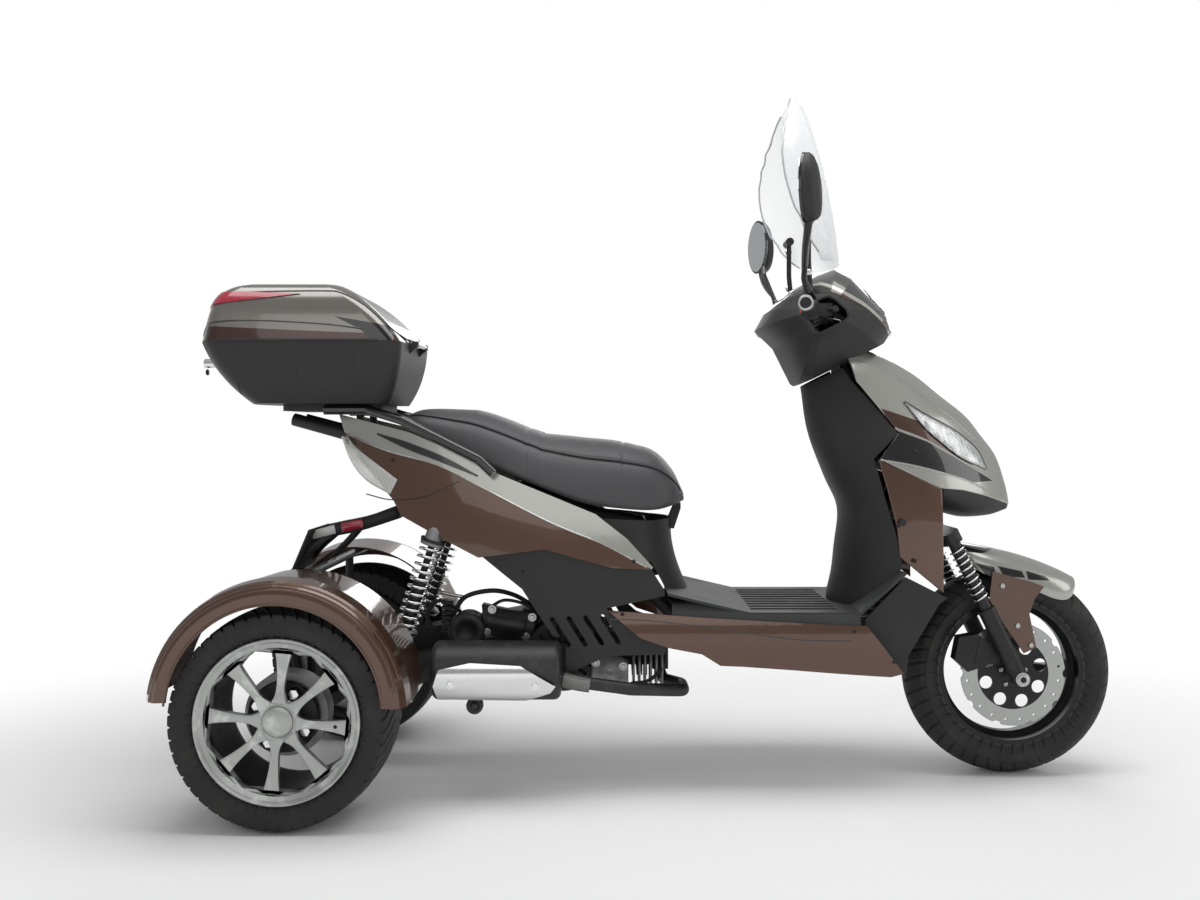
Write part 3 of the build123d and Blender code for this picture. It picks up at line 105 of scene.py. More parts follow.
class Finish:
    """The nodes of one shader, in a material or a world."""

    def __init__(self, name, owner=None):
        """Starts an empty tree in a new material, or in the world or material given as owner."""
        self.material = owner or bpy.data.materials.new(name)
        self.material.use_nodes = True
        self.tree = self.material.node_tree
        self.tree.nodes.clear()
        self.place = None

    def node(self, kind, settings=None, sockets=None):
        """Adds a node: its settings first, then the values or links of its sockets by name or
        number."""
        made = self.tree.nodes.new(kind)
        for key, value in (settings or {}).items():
            setattr(made, key, value)
        for key, value in (sockets or {}).items():
            self.feed(made.inputs[key], value)
        return made

    def feed(self, socket, value):
        """Links a socket to a value of the tree, or sets it."""
        if isinstance(value, Val):
            self.tree.links.new(value.socket, socket)
        elif isinstance(value, bpy.types.NodeSocket):
            self.tree.links.new(value, socket)
        elif isinstance(value, tuple) and len(value) == 3 and socket.type == "RGBA":
            socket.default_value = (*value, 1.0)
        else:
            socket.default_value = value

    def coords(self):
        """Object coordinates, in metres."""
        if self.place is None:
            self.place = self.node("ShaderNodeTexCoord").outputs["Object"]
        return self.place

    def axes(self):
        """The three object coordinates as values."""
        made = self.node("ShaderNodeSeparateXYZ", None, {0: self.coords()})
        return [Val(self, socket) for socket in made.outputs]

    def facing(self):
        """The three parts of the surface normal as values."""
        normal = self.node("ShaderNodeTexCoord").outputs["Normal"]
        made = self.node("ShaderNodeSeparateXYZ", None, {0: normal})
        return [Val(self, socket) for socket in made.outputs]

    def zone(self, outline):
        """1 inside an area of the side view given as (x, z) corners, 0 outside: it is inside where
        the number of the outline's edges that lie in front of the point, at its height, is odd."""
        x, _, z = self.axes()
        odd = None
        for (xa, za), (xb, zb) in zip(outline, outline[1:] + outline[:1]):
            if za == zb:
                continue
            slope = (xb - xa) / (zb - za)
            between = (z > min(za, zb)) * (z < max(za, zb))
            crossed = between * ((z - za) * slope + xa > x)
            odd = crossed if odd is None else abs(odd - crossed)
        return odd

    def stretched(self, scale):
        """Object coordinates scaled apart along the axes, for grain with a direction."""
        sockets = {"Vector": self.coords(), "Scale": scale}
        return self.node("ShaderNodeMapping", None, sockets).outputs[0]

    def noise(self, scale, detail=2.0, place=None):
        """Smooth random value, about a half on average; scale counts its waves in a metre."""
        sockets = {"Vector": place or self.coords(), "Scale": scale, "Detail": detail}
        return Val(self, self.node("ShaderNodeTexNoise", None, sockets).outputs["Fac"])

    def cells(self, scale, place=None, feature="F1"):
        """Distance to the nearest cell centre, or to the cell's edge."""
        sockets = {"Vector": place or self.coords(), "Scale": scale}
        return Val(self, self.node("ShaderNodeTexVoronoi", {"feature": feature},
                                   sockets).outputs["Distance"])

    def mix(self, factor, first, second):
        """Colour between two, by the factor."""
        made = self.node("ShaderNodeMix", {"data_type": "RGBA"}, {0: factor, 6: first, 7: second})
        return made.outputs[2]

    def bump(self, height, distance, strength=1.0):
        """Normal tilted as if the surface rose by the height value times the distance, in metres."""
        sockets = {"Height": height, "Distance": distance, "Strength": strength}
        return self.node("ShaderNodeBump", None, sockets).outputs[0]

    def surface(self, **sockets):
        """Principled surface; a socket's name is written with underscores."""
        named = {key.replace("_", " "): value for key, value in sockets.items()}
        made = self.node("ShaderNodeBsdfPrincipled", None, named)
        self.output(made.outputs[0])
        return self.material

    def output(self, shader):
        """Ends the tree in a material's output."""
        self.node("ShaderNodeOutputMaterial", None, {"Surface": shader})
        return self.material


# ---------------------------------------------------------------- finishes
def lacquer(name, colour, light, roughness=0.3, metallic=0.62, zones=()):
    """Metallic lacquer: fine flakes that vary in brightness under a clear coat with slight orange
    peel. Zones are areas of other colours, each bounded by straight lines in side view."""
    f = Finish(name)
    haze = f.noise(6.0, 3.0)
    tone = f.mix((f.cells(2600.0).step(0.1, 0.75) * 0.5 + haze * 0.25).least(1.0), colour, light)
    for other, outline in zones:
        tone = f.mix(f.zone(outline), tone, other)
    return f.surface(Base_Color=tone, Metallic=metallic, Roughness=haze * 0.12 + (roughness - 0.06),
                     Coat_Weight=1.0,
                     Coat_Roughness=0.04, Normal=f.bump(f.noise(240.0, 1.0), 0.00012, 0.35))


def zoned(name, colour, light, zones, roughness=0.3):
    """Lacquer in more than one colour, a little less metallic than the plain one."""
    return lacquer(name, colour, light, roughness, 0.5, zones)


def faceted_bowl(name):
    """Chromed reflector with square facets: a bump whose height is the larger of two folded ramps, and
    painted reflections as noise blotches from dark to bright.
    """
    f = Finish(name)
    x, _, z = f.axes()
    facets = abs(((x + z) * 330.0).wave()).most(abs(((x - z) * 330.0).wave()))
    # shade: painted reflections, noise blotches between dark and bright chrome
    shade = f.mix(f.noise(34.0, 2.0).step(0.35, 0.65), (0.18, 0.19, 0.19), (0.72, 0.73, 0.72))
    return f.surface(Base_Color=shade, Metallic=0.9, Roughness=0.12, Normal=f.bump(facets, 0.0012, 0.9))


def braided(name):
    """Woven steel: two crossed sets of diagonal waves."""
    f = Finish(name)
    x, _, z = f.axes()
    weave = ((x + z) * 1500.0).wave() * ((x - z) * 1500.0).wave()
    tone = f.mix(weave.step(-0.2, 0.5), (0.03, 0.03, 0.03), (0.5, 0.5, 0.48))
    return f.surface(Base_Color=tone, Metallic=0.8, Roughness=0.35, Normal=f.bump(weave, 0.0006, 0.6))


def grained_plastic(name, colour, roughness=0.52, grain=900.0, depth=0.00012):
    """Moulded plastic with a fine leather-like grain and a little dust in it."""
    f = Finish(name)
    pits = f.cells(grain)
    dust = f.noise(9.0, 4.0).step(0.45, 0.75)
    tone = f.mix(dust * 0.35, colour, tuple(c * 1.8 + 0.01 for c in colour))
    return f.surface(Base_Color=tone, Roughness=dust * 0.12 + roughness,
                     Normal=f.bump(pits, depth, 0.6), Specular_IOR_Level=0.45)


def gloss_plastic(name, colour, roughness=0.16):
    """Polished moulding with faint waviness and fine wipe marks."""
    f = Finish(name)
    wipe = f.noise(60.0, 5.0, f.stretched((1.0, 1.0, 7.0)))
    return f.surface(Base_Color=f.mix(wipe * 0.3, colour, tuple(c * 1.35 + 0.004 for c in colour)),
                     Roughness=wipe * 0.12 + roughness, Coat_Weight=0.6, Coat_Roughness=0.06,
                     Normal=f.bump(f.noise(30.0, 1.0), 0.0003, 0.25))


def satin_metal(name, colour, metallic=0.25, roughness=0.42):
    """Satin black paint over steel, with paler worn dust."""
    f = Finish(name)
    wear = f.noise(35.0, 6.0).step(0.5, 0.72)
    tone = f.mix(wear * 0.35, colour, tuple(c * 2.4 + 0.02 for c in colour))
    return f.surface(Base_Color=tone, Metallic=metallic, Roughness=wear * 0.15 + roughness,
                     Normal=f.bump(f.noise(420.0, 2.0), 0.00015, 0.4))


def cast_metal(name, colour, roughness=0.46):
    """Die-cast alloy: grainy skin with darker pores."""
    f = Finish(name)
    grain = f.noise(520.0, 4.0)
    stain = f.noise(22.0, 5.0).step(0.42, 0.7)
    return f.surface(Base_Color=f.mix(stain * 0.55, colour, tuple(c * 0.42 for c in colour)),
                     Metallic=0.8, Roughness=grain * 0.2 + roughness, Normal=f.bump(grain, 0.0004, 0.5))


def bright_metal(name, colour, roughness=0.12, brush=(1.0, 1.0, 1.0), scale=180.0):
    """Plated or machined metal; brush stretches its marks along one way."""
    f = Finish(name)
    marks = f.noise(scale, 4.0, f.stretched(brush))
    tone = f.mix(marks * 0.5, colour, tuple(c * 0.82 for c in colour))
    return f.surface(Base_Color=tone, Metallic=1.0,
                     Roughness=marks * 0.14 + roughness, Normal=f.bump(marks, 0.0001, 0.2))


def wheel_metal(name, centre, silver, black, inner, outer):
    """Cut alloy: faces square to the axle and the outer lip are machined with turning rings, the
    rest is black paint."""
    f = Finish(name)
    x, _, z = f.axes()
    dx, dz = x - centre[0], z - centre[2]
    radius = (dx * dx + dz * dz) ** 0.5
    across = abs(f.facing()[1])
    cut = (across > 0.8) * (radius > inner) * (radius < outer)
    rings = (radius * 5200.0).wave() * 0.5 + 0.5
    flecks = f.noise(500.0, 3.0)
    tone = f.mix(cut, black, silver)
    return f.surface(Base_Color=tone, Metallic=cut * 0.6 + 0.35,
                     Roughness=0.34 - cut * 0.1 + rings * 0.05,
                     Normal=f.bump(rings * cut + flecks * 0.4, 0.00006, 0.5))


def tyre_rubber(name):
    """Dull rubber, paler with dust on the sidewall and in its fine moulding lines."""
    f = Finish(name)
    dust = f.noise(14.0, 5.0).step(0.4, 0.8)
    grit = f.noise(900.0, 3.0)
    tone = f.mix(dust * 0.5, (0.018, 0.018, 0.018), (0.055, 0.053, 0.05))
    return f.surface(Base_Color=tone, Roughness=dust * 0.15 + 0.62, Normal=f.bump(grit, 0.0003, 0.5),
                     Specular_IOR_Level=0.35)


def seat_vinyl(name):
    """Grained vinyl: small rounded cells with creases between them."""
    f = Finish(name)
    cells = f.cells(620.0)
    crease = f.noise(90.0, 6.0)
    sheen = f.noise(5.0, 2.0)
    tone = f.mix(sheen * 0.7, (0.04, 0.04, 0.043), (0.095, 0.095, 0.1))
    return f.surface(Base_Color=tone, Roughness=crease * 0.16 + 0.4,
                     Normal=f.bump(cells + crease * 0.7, 0.0004, 0.6), Specular_IOR_Level=0.5)


def clear_plastic(name, colour, alpha_centre=0.12, roughness=0.04):
    """Clear sheet that shows more where it is seen edge-on, a painted reflection, and whose scratches
    show a little more than its middle.
    """
    f = Finish(name)
    # edge: opacity of the pale colour where the sheet is seen edge-on, a painted reflection
    edge = Val(f, f.node("ShaderNodeLayerWeight", None, {"Blend": 0.25}).outputs["Facing"])
    haze = f.noise(4.0, 5.0)
    return f.surface(Base_Color=colour, Roughness=haze * 0.08 + roughness,
                     Alpha=(edge * 0.75 + alpha_centre + haze * 0.06).least(1.0),
                     Specular_IOR_Level=0.6)


def lamp_lens(name, colour, weight=0.85):
    """Clear moulded lens with vertical flutes."""
    f = Finish(name)
    x, _, z = f.axes()
    flutes = ((x + z * 0.35) * 620.0).wave()
    return f.surface(Base_Color=colour, Transmission_Weight=weight, Roughness=0.06, IOR=1.35,
                     Coat_Weight=1.0, Normal=f.bump(flutes, 0.0006, 0.35))


def red_lens(name):
    """Red reflector with a fine prism grid under a glossy skin."""
    f = Finish(name)
    x, y, z = f.axes()
    prisms = ((x + z) * 1500.0).wave() * ((x - z + y) * 1500.0).wave()
    tone = f.mix(prisms.step(-0.4, 0.9), (0.22, 0.004, 0.02), (0.62, 0.03, 0.07))
    return f.surface(Base_Color=tone, Roughness=0.12, Coat_Weight=1.0,
                     Normal=f.bump(prisms, 0.0002, 0.3))


def mirror_face(name):
    """Silvered glass under a faint film of dust."""
    f = Finish(name)
    film = f.noise(12.0, 4.0)
    return f.surface(Base_Color=(0.86, 0.88, 0.9), Metallic=1.0, Roughness=film * 0.04 + 0.01)


BROWN = (0.066, 0.029, 0.016)
BROWN_LIGHT = (0.125, 0.060, 0.036)
SILVER = (0.27, 0.27, 0.25)
SILVER_LIGHT = (0.50, 0.50, 0.46)
# near black: the apron's dark band and the lid's scoop, and painted shade in the front fender's slots
# and upper area and in the bar cover's gap
NEAR_BLACK = (0.006, 0.006, 0.006)
# colour areas: (x, z) corners in side view
BROWN_ZONE = [(0.505, 0.862), (0.600, 0.832), (0.690, 0.757), (0.775, 0.704), (0.700, 0.742),
              (0.612, 0.789), (0.530, 0.818)]
GREY = (0.075, 0.075, 0.072)
LID_GREY = (0.13, 0.12, 0.108)
LID_LIGHT = (0.24, 0.225, 0.205)
WINE = (0.045, 0.012, 0.010)
# painted shade: the front fender's three side slots and its upper area under the nose, in near black
FENDER_SHADE_AREAS = [[(0.744, 0.503), (0.784, 0.495), (0.790, 0.470), (0.770, 0.472)],
                [(0.793, 0.497), (0.848, 0.485), (0.855, 0.470), (0.805, 0.474)],
                [(0.858, 0.486), (0.905, 0.472), (0.915, 0.463), (0.862, 0.466)],
                [(0.700, 0.560), (0.800, 0.560), (0.812, 0.534), (0.760, 0.524), (0.700, 0.530)]]
COVER_TOP = [(0.300, 1.140), (0.330, 1.140), (0.372, 1.148), (0.463, 1.106), (0.515, 1.068),
             (0.570, 1.060), (0.570, 1.220), (0.300, 1.220)]
COVER_STRIP = [(0.340, 1.143), (0.372, 1.150), (0.463, 1.107), (0.520, 1.066), (0.516, 1.060),
               (0.458, 1.098), (0.372, 1.141)]
# painted shade: the gap at the rear of the bar cover, below its top, in near black
COVER_GAP_SHADE = [(0.240, 1.000), (0.240, 1.140), (0.372, 1.140), (0.430, 1.100), (0.402, 1.078),
             (0.380, 1.040), (0.380, 1.000)]
LID_BAND = [(-1.070, 1.004), (-0.550, 1.004), (-0.590, 1.026), (-0.800, 1.034), (-1.010, 1.044),
            (-1.070, 1.044)]
LID_SCOOP = [(-0.640, 1.015), (-0.590, 1.010), (-0.600, 1.045), (-0.720, 1.066), (-0.660, 1.036)]
BLACK_ZONE = [(0.480, 0.832), (0.612, 0.787), (0.700, 0.740), (0.790, 0.694), (0.730, 0.692),
              (0.660, 0.714), (0.480, 0.750)]


class PaintSettings(bpy.types.PropertyGroup):
    """Colours of the lacquers, each with the lighter colour of its flakes."""

    body: bpy.props.FloatVectorProperty(name="Body", description="Colour of the body's main panels",
                                        subtype="COLOR", min=0.0, max=1.0, default=BROWN)
    body_flake: bpy.props.FloatVectorProperty(name="Body Flake",
                                              description="Flakes in the body's colour",
                                              subtype="COLOR", min=0.0, max=1.0, default=BROWN_LIGHT)
    trim: bpy.props.FloatVectorProperty(name="Trim",
                                        description="Colour of the nose, strips and front fender",
                                        subtype="COLOR", min=0.0, max=1.0, default=SILVER)
    trim_flake: bpy.props.FloatVectorProperty(name="Trim Flake",
                                              description="Flakes in the trim's colour",
                                              subtype="COLOR", min=0.0, max=1.0, default=SILVER_LIGHT)
    lid: bpy.props.FloatVectorProperty(name="Lid", description="Colour of the top case's lid",
                                       subtype="COLOR", min=0.0, max=1.0, default=LID_GREY)
    lid_flake: bpy.props.FloatVectorProperty(name="Lid Flake", description="Flakes in the lid's colour",
                                             subtype="COLOR", min=0.0, max=1.0, default=LID_LIGHT)


def finishes(paint):
    """Every finish by the name that nodes and pieces ask for it, with the lacquers in the colours of
    the settings."""
    body, trim, lid = tuple(paint.body), tuple(paint.trim), tuple(paint.lid)
    body_flake, trim_flake, lid_flake = (tuple(paint.body_flake), tuple(paint.trim_flake),
                                         tuple(paint.lid_flake))
    right = JOINTS["rear_wheel_right"]["pos_m"]
    front = JOINTS["front_wheel"]["pos_m"]
    return {
        "brown": lacquer("brown_lacquer", body, body_flake),
        "silver": lacquer("silver_lacquer", trim, trim_flake, 0.26),
        "black": grained_plastic("black_moulding", (0.016, 0.016, 0.016)),
        "floor_black": grained_plastic("tread_moulding", (0.03, 0.031, 0.032), 0.6, 420.0, 0.0003),
        "gloss_black": gloss_plastic("gloss_black_moulding", (0.008, 0.008, 0.009)),
        "frame": satin_metal("frame_paint", (0.014, 0.014, 0.014)),
        "cast": cast_metal("cast_alloy", (0.3, 0.3, 0.3)),
        "dark_cast": cast_metal("blackened_cast", (0.06, 0.06, 0.06)),
        "steel": bright_metal("drawn_steel", (0.5, 0.5, 0.5), 0.24),
        "chrome": bright_metal("chrome_plate", (0.8, 0.8, 0.81), 0.06),
        "exhaust": satin_metal("exhaust_black", (0.022, 0.022, 0.022), 0.1, 0.45),
        "rear_alloy": wheel_metal("rear_wheel_cut", right, (0.72, 0.72, 0.73), (0.012, 0.012, 0.013),
                                  0.0, 0.175),
        "front_alloy": wheel_metal("front_wheel_black", front, (0.05, 0.05, 0.05),
                                   (0.012, 0.012, 0.013), 0.17, 0.19),
        "tyre": tyre_rubber("tyre_rubber"),
        "rubber": grained_plastic("soft_rubber", (0.014, 0.014, 0.014), 0.7, 1400.0, 0.0001),
        "vinyl": seat_vinyl("seat_vinyl"),
        "clear": clear_plastic("screen_sheet", (0.92, 0.94, 0.95)),
        "lens": lamp_lens("lamp_lens_clear", (0.94, 0.95, 0.95)),
        "red": red_lens("reflector_red"),
        "mirror": mirror_face("mirror_silvering"),
        "clear_edge": gloss_plastic("screen_rim", (0.45, 0.47, 0.48), 0.1),
        "apron_paint": zoned("apron_paint", trim, trim_flake, [(body, BROWN_ZONE), (NEAR_BLACK, BLACK_ZONE)]),
        "alloy_face": satin_metal("machined_alloy", (0.42, 0.43, 0.42), 0.75, 0.34),
        "alloy_dark": satin_metal("barrel_black", (0.012, 0.012, 0.013), 0.3, 0.45),
        "facets": faceted_bowl("lamp_facets"),
        # the front fender's silver lacquer, with painted shade in its slots and under the nose
        "fender_paint": zoned("fork_fender_paint", trim, trim_flake,
                              [(NEAR_BLACK, zone) for zone in FENDER_SHADE_AREAS]),
        # the bar cover's lacquer, with its grey top, its pale strip and painted shade in its gap
        "cover_paint": zoned("bar_cover_paint", body, body_flake,
                             [(GREY, COVER_TOP), (trim_flake, COVER_STRIP), (NEAR_BLACK, COVER_GAP_SHADE)]),
        "lid_paint": zoned("lid_lacquer", lid, lid_flake, [(WINE, LID_BAND), (NEAR_BLACK, LID_SCOOP)], 0.2),
        "disc": wheel_metal("disc_cut", front, (0.40, 0.41, 0.40), (0.012, 0.012, 0.013), 0.083, 0.2),
        "braid": braided("braided_sleeve"),
        "lens_tail": lamp_lens("tail_lens", (0.72, 0.72, 0.70), 0.35),
        "white_plastic": gloss_plastic("lamp_white", (0.62, 0.62, 0.60), 0.2),
        "silver_bright": bright_metal("edge_silver", (0.55, 0.55, 0.53), 0.25),
        "red_plastic": gloss_plastic("switch_red", (0.55, 0.02, 0.015), 0.2),
    }


NODE_FINISH = {
    "brown": ("side_panels", "side_skirts", "apron_sides", "fenders", "fender_sides"),
    "cover_paint": ("bar_cover_upper",),
    "fender_paint": ("front_fender",),
    "silver": ("side_strips", "apron"),
    "black": ("side_covers", "lower_cowl", "leg_shield", "seat_front_cover", "bucket", "box_tub",
              "rack", "fan_cover", "bar_cover_lower"),
    "floor_black": ("floorboard",),
    "gloss_black": ("mirrors", "grab_rails"),
    "lid_paint": ("box_lid",),
    "frame": ("frame", "rear_axle", "rear_shocks", "handlebar", "screen_stays", "levers", "fork",
              "caliper"),
    "cast": ("rear_hub_right", "rear_hub_left"),
    "dark_cast": ("engine",),
    "disc": ("front_disc",),
    "steel": ("seat_hinge",),
    "chrome": ("muffler_guard", "box_lock"),
    "exhaust": ("muffler", "exhaust_pipe"),
    "rear_alloy": ("rear_rim_right", "rear_rim_left"),
    "front_alloy": ("front_rim",),
    "tyre": ("front_tyre", "rear_tyre_right", "rear_tyre_left"),
    "rubber": ("grips",),
    "vinyl": ("seat",),
    "clear": ("windscreen",),
    "lens": ("apron_lamps", "headlamp"),
    "red": ("box_reflector",),
    "mirror": ("mirror_glass",),
}
FINISHES = {}


RIGHT = (0, -1, 0)


# ---------------------------------------------------------------- surfaces
class Surface:
    """Grids of points joined into one mesh; every grid is a whole array of (row, column, xyz)."""

    def __init__(self):
        self.points = []
        self.quads = []
        self.count = 0

    def grid(self, points, around=True, along=False):
        """Adds a grid: around joins its last column to its first, along its last row to its first."""
        rows, columns = points.shape[:2]
        index = np.arange(rows * columns).reshape(rows, columns) + self.count
        if around:
            index = np.hstack([index, index[:, :1]])
        if along:
            index = np.vstack([index, index[:1]])
        corners = [index[:-1, :-1], index[:-1, 1:], index[1:, 1:], index[1:, :-1]]
        self.points.append(points.reshape(-1, 3))
        self.quads.append(np.stack(corners, axis=-1).reshape(-1, 4))
        self.count += rows * columns
        return self

    def mirrored(self):
        """Adds the mirror image across the middle plane."""
        points = np.concatenate(self.points) * (1.0, -1.0, 1.0)
        quads = np.concatenate(self.quads)[:, ::-1] + self.count
        self.points.append(points)
        self.quads.append(quads)
        self.count *= 2
        return self

    def object(self, name, finish, body, slot, replaces=(), smooth=True):
        """Makes the piece: merges seams and poles, turns its faces outwards, gives its finish and
        its body."""
        mesh = bpy.data.meshes.new(name)
        mesh.from_pydata(np.concatenate(self.points), [], np.concatenate(self.quads))
        bm = bmesh.new()
        bm.from_mesh(mesh)
        bmesh.ops.remove_doubles(bm, verts=bm.verts, dist=2e-6)
        bmesh.ops.recalc_face_normals(bm, faces=bm.faces)
        bm.to_mesh(mesh)
        bm.free()
        mesh.polygons.foreach_set("use_smooth", np.full(len(mesh.polygons), smooth))
        mesh.materials.append(FINISHES[finish])
        piece = bpy.data.objects.new(name, mesh)
        bpy.context.scene.collection.objects.link(piece)
        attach(piece, body)
        if replaces:
            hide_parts(*replaces)
        return piece


def curve(keys, count):
    """Points along a Catmull-Rom curve through the keys: p(t) = ((2b) + (c-a)t + (2a-5b+4c-d)t^2 +
    (3b-a-3c+d)t^3) / 2."""
    keys = np.asarray(keys, float)
    padded = np.vstack([2 * keys[0] - keys[1], keys, 2 * keys[-1] - keys[-2]])
    where = np.linspace(0, len(keys) - 1 - 1e-9, count)
    start = where.astype(int)
    t = (where - start)[:, None]
    a, b, c, d = (padded[start + i] for i in range(4))
    return (2 * b + (c - a) * t + (2 * a - 5 * b + 4 * c - d) * t ** 2
            + (3 * b - a - 3 * c + d) * t ** 3) / 2


def around(centre, radius, angle, y):
    """Point on a circle round a lateral axle: x = cx + r cos(t), z = cz + r sin(t), at the given y."""
    return centre[0] + radius * math.cos(angle), y, centre[2] + radius * math.sin(angle)


def flat_keys(keys):
    """Points on the middle plane from the (x, z) points of a side view."""
    return [(x, 0, z) for x, z in keys]


def side_line(keys, count):
    """Curve on the middle plane through (x, z) points of the side view."""
    return curve(flat_keys(keys), count)


def basis(axis):
    """Two unit vectors square to the axis and the axis itself."""
    w = np.asarray(axis, float) / np.linalg.norm(axis)
    u = np.cross(w, (0.0, 0.0, 1.0) if abs(w[2]) < 0.9 else (1.0, 0.0, 0.0))
    u /= np.linalg.norm(u)
    return u, np.cross(w, u), w


def lathe(profile, centre, axis=(0, 1, 0), turn=48, start=0.0):
    """Turned form: a profile of (radius, height) carried round the axis, p = c + r cos(t) u + r
    sin(t) v + h w."""
    u, v, w = basis(axis)
    profile = np.asarray(profile, float)
    t = np.linspace(0, 2 * np.pi, turn, endpoint=False) + start
    r, h = profile[:, :1], profile[:, 1:]
    return (np.asarray(centre, float) + (r * np.cos(t))[..., None] * u + (r * np.sin(t))[..., None] * v
            + (h * np.ones_like(t))[..., None] * w)


def tube(path, radius, sides=10, flat=1.0, up=None):
    """Round or flattened bar: circles of the radius carried along the path, in the plane square to
    its tangent."""
    path = np.asarray(path, float)
    radius = np.broadcast_to(radius, len(path))[:, None, None]
    along = np.gradient(path, axis=0)
    along /= np.linalg.norm(along, axis=1, keepdims=True)
    lead = np.asarray((0.0, 0.0, 1.0) if up is None else up, float)
    across = np.cross(along, lead)
    across /= np.linalg.norm(across, axis=1, keepdims=True) + 1e-12
    out = np.cross(across, along)
    t = np.linspace(0, 2 * np.pi, sides, endpoint=False)[None, :, None]
    return path[:, None] + radius * (np.cos(t) * across[:, None] + flat * np.sin(t) * out[:, None])


def capped(points):
    """Closes a tube's two ends by drawing its end rings in to their centres."""
    first = np.repeat(points[:1].mean(axis=1, keepdims=True), points.shape[1], axis=1)
    last = np.repeat(points[-1:].mean(axis=1, keepdims=True), points.shape[1], axis=1)
    return np.concatenate([first, points, last])


def bar(path, radius, sides=10, flat=1.0, up=None):
    """A tube with both ends closed."""
    return capped(tube(path, radius, sides, flat, up))


def triangles(node):
    """Corner points of a solid's triangles, as one array (triangle, corner, xyz)."""
    mesh = NODES[node].data
    mesh.calc_loop_triangles()
    corners = np.empty(len(mesh.loop_triangles) * 3, np.int32)
    mesh.loop_triangles.foreach_get("vertices", corners)
    points = np.empty(len(mesh.vertices) * 3, np.float32)
    mesh.vertices.foreach_get("co", points)
    return points.reshape(-1, 3)[corners].reshape(-1, 3, 3).astype(float)


def laid(path, node, side, view=1):
    """Lays a path on a solid: along the view axis it takes the outermost triangle that covers each
    point there, found for all points and triangles at once by barycentric weights."""
    path = np.array(path, float)
    flat = [axis for axis in range(3) if axis != view]
    tri = triangles(node)
    low, high = path[:, flat].min(axis=0), path[:, flat].max(axis=0)
    least, most = tri[:, :, flat].min(axis=1), tri[:, :, flat].max(axis=1)
    tri = tri[(most >= low).all(axis=1) & (least <= high).all(axis=1)]
    a, b, c = (tri[None, :, i][..., flat] for i in range(3))
    p = path[:, None][..., flat]

    def cross(first, second):
        """Area spanned by two flat vectors."""
        return first[..., 0] * second[..., 1] - second[..., 0] * first[..., 1]

    area = cross(b - a, c - a)
    area = np.where(np.abs(area) < 1e-12, np.nan, area)
    wb = cross(p - a, c - a) / area
    wc = cross(b - a, p - a) / area
    inside = (wb >= -1e-6) & (wc >= -1e-6) & (wb + wc <= 1 + 1e-6)
    heights = [tri[None, :, i, view] for i in range(3)]
    depth = heights[0] * (1 - wb - wc) + heights[1] * wb + heights[2] * wc
    best = np.where(inside, side * depth, -np.inf).max(axis=1)
    found = np.isfinite(best)
    if not found.any():
        raise RuntimeError(f"no part of {node} lies under the path")
    steps = np.arange(len(path))
    path[:, view] = side * np.interp(steps, steps[found], best[found])
    return path


def bead(keys, node, side, width, height, count=60, view=1, sink=0.35):
    """Raised line on a solid: a flattened tube whose middle is laid on the skin a little below its
    surface."""
    path = laid(curve(keys, count), node, side, view)
    path[:, view] -= side * height * sink
    lead = np.zeros(3)
    lead[view] = side
    return bar(path, width / 2, 8, 2 * height / width, lead)


def hexagon(centre, axis, across, height, crown=0.25):
    """Six-sided head with a chamfered top."""
    r = across / 2
    profile = [(0, 0), (r, 0), (r, height * (1 - crown)), (r * 0.86, height), (0, height)]
    return lathe(profile, centre, axis, 6)


def washer(radius, height):
    """Profile of a flat disc."""
    return [(0, 0), (radius, 0), (radius, height), (0, height)]


def pan(centre, axis, radius, height):
    """Round screw head with a driver recess: a quarter ellipse turned about its axis, sunk in the
    middle."""
    t = np.linspace(0, np.pi / 2, 5)
    dome = np.stack([radius * np.cos(t) * 0.65 + radius * 0.35, height * np.sin(t)], axis=1)
    recess = [(radius * 0.32, height * 0.35), (0, height * 0.35)]
    profile = np.vstack([[(0, 0), (radius, 0)], dome, recess])
    return lathe(profile, centre, axis, 14)


def low(node):
    """Least corner of a solid's box."""
    return np.array(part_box(node)[0])


def high(node):
    """Greatest corner of a solid's box."""
    return np.array(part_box(node)[1])


def middle(node):
    """Middle of a solid's box."""
    return (low(node) + high(node)) / 2


# ---------------------------------------------------------------- operators
class TRIKE_OT_finish_nodes(bpy.types.Operator):
    """Gives every solid of the frame its finish."""

    bl_idname = "trike.finish_nodes"
    bl_label = "Finish the Frame's Solids"

    def execute(self, context):
        FINISHES.update(finishes(context.scene.trike_paint))
        for finish, names in NODE_FINISH.items():
            for name in names:
                NODES[name].data.materials.clear()
                NODES[name].data.materials.append(FINISHES[finish])
        return {"FINISHED"}


class TyreSettings(bpy.types.PropertyGroup):
    """Sizes of the treads."""

    groove: bpy.props.FloatProperty(name="Groove Depth", description="Depth of the tread's grooves",
                                    default=0.0055, unit="LENGTH")
    front_blocks: bpy.props.IntProperty(name="Front Blocks", description="Blocks round the front tyre",
                                        default=44)
    rear_blocks: bpy.props.IntProperty(name="Rear Blocks", description="Blocks round each rear tyre",
                                       default=52)


TYRE_ROWS = 880
# how round the tread is, the slant of its grooves, the bead as a share of the radius, the tread as a
# share of the width
FRONT_TREAD = (0.16, 0.9, 0.68, 0.86)
REAR_TREAD = (0.055, 1.6, 0.677, 0.9)


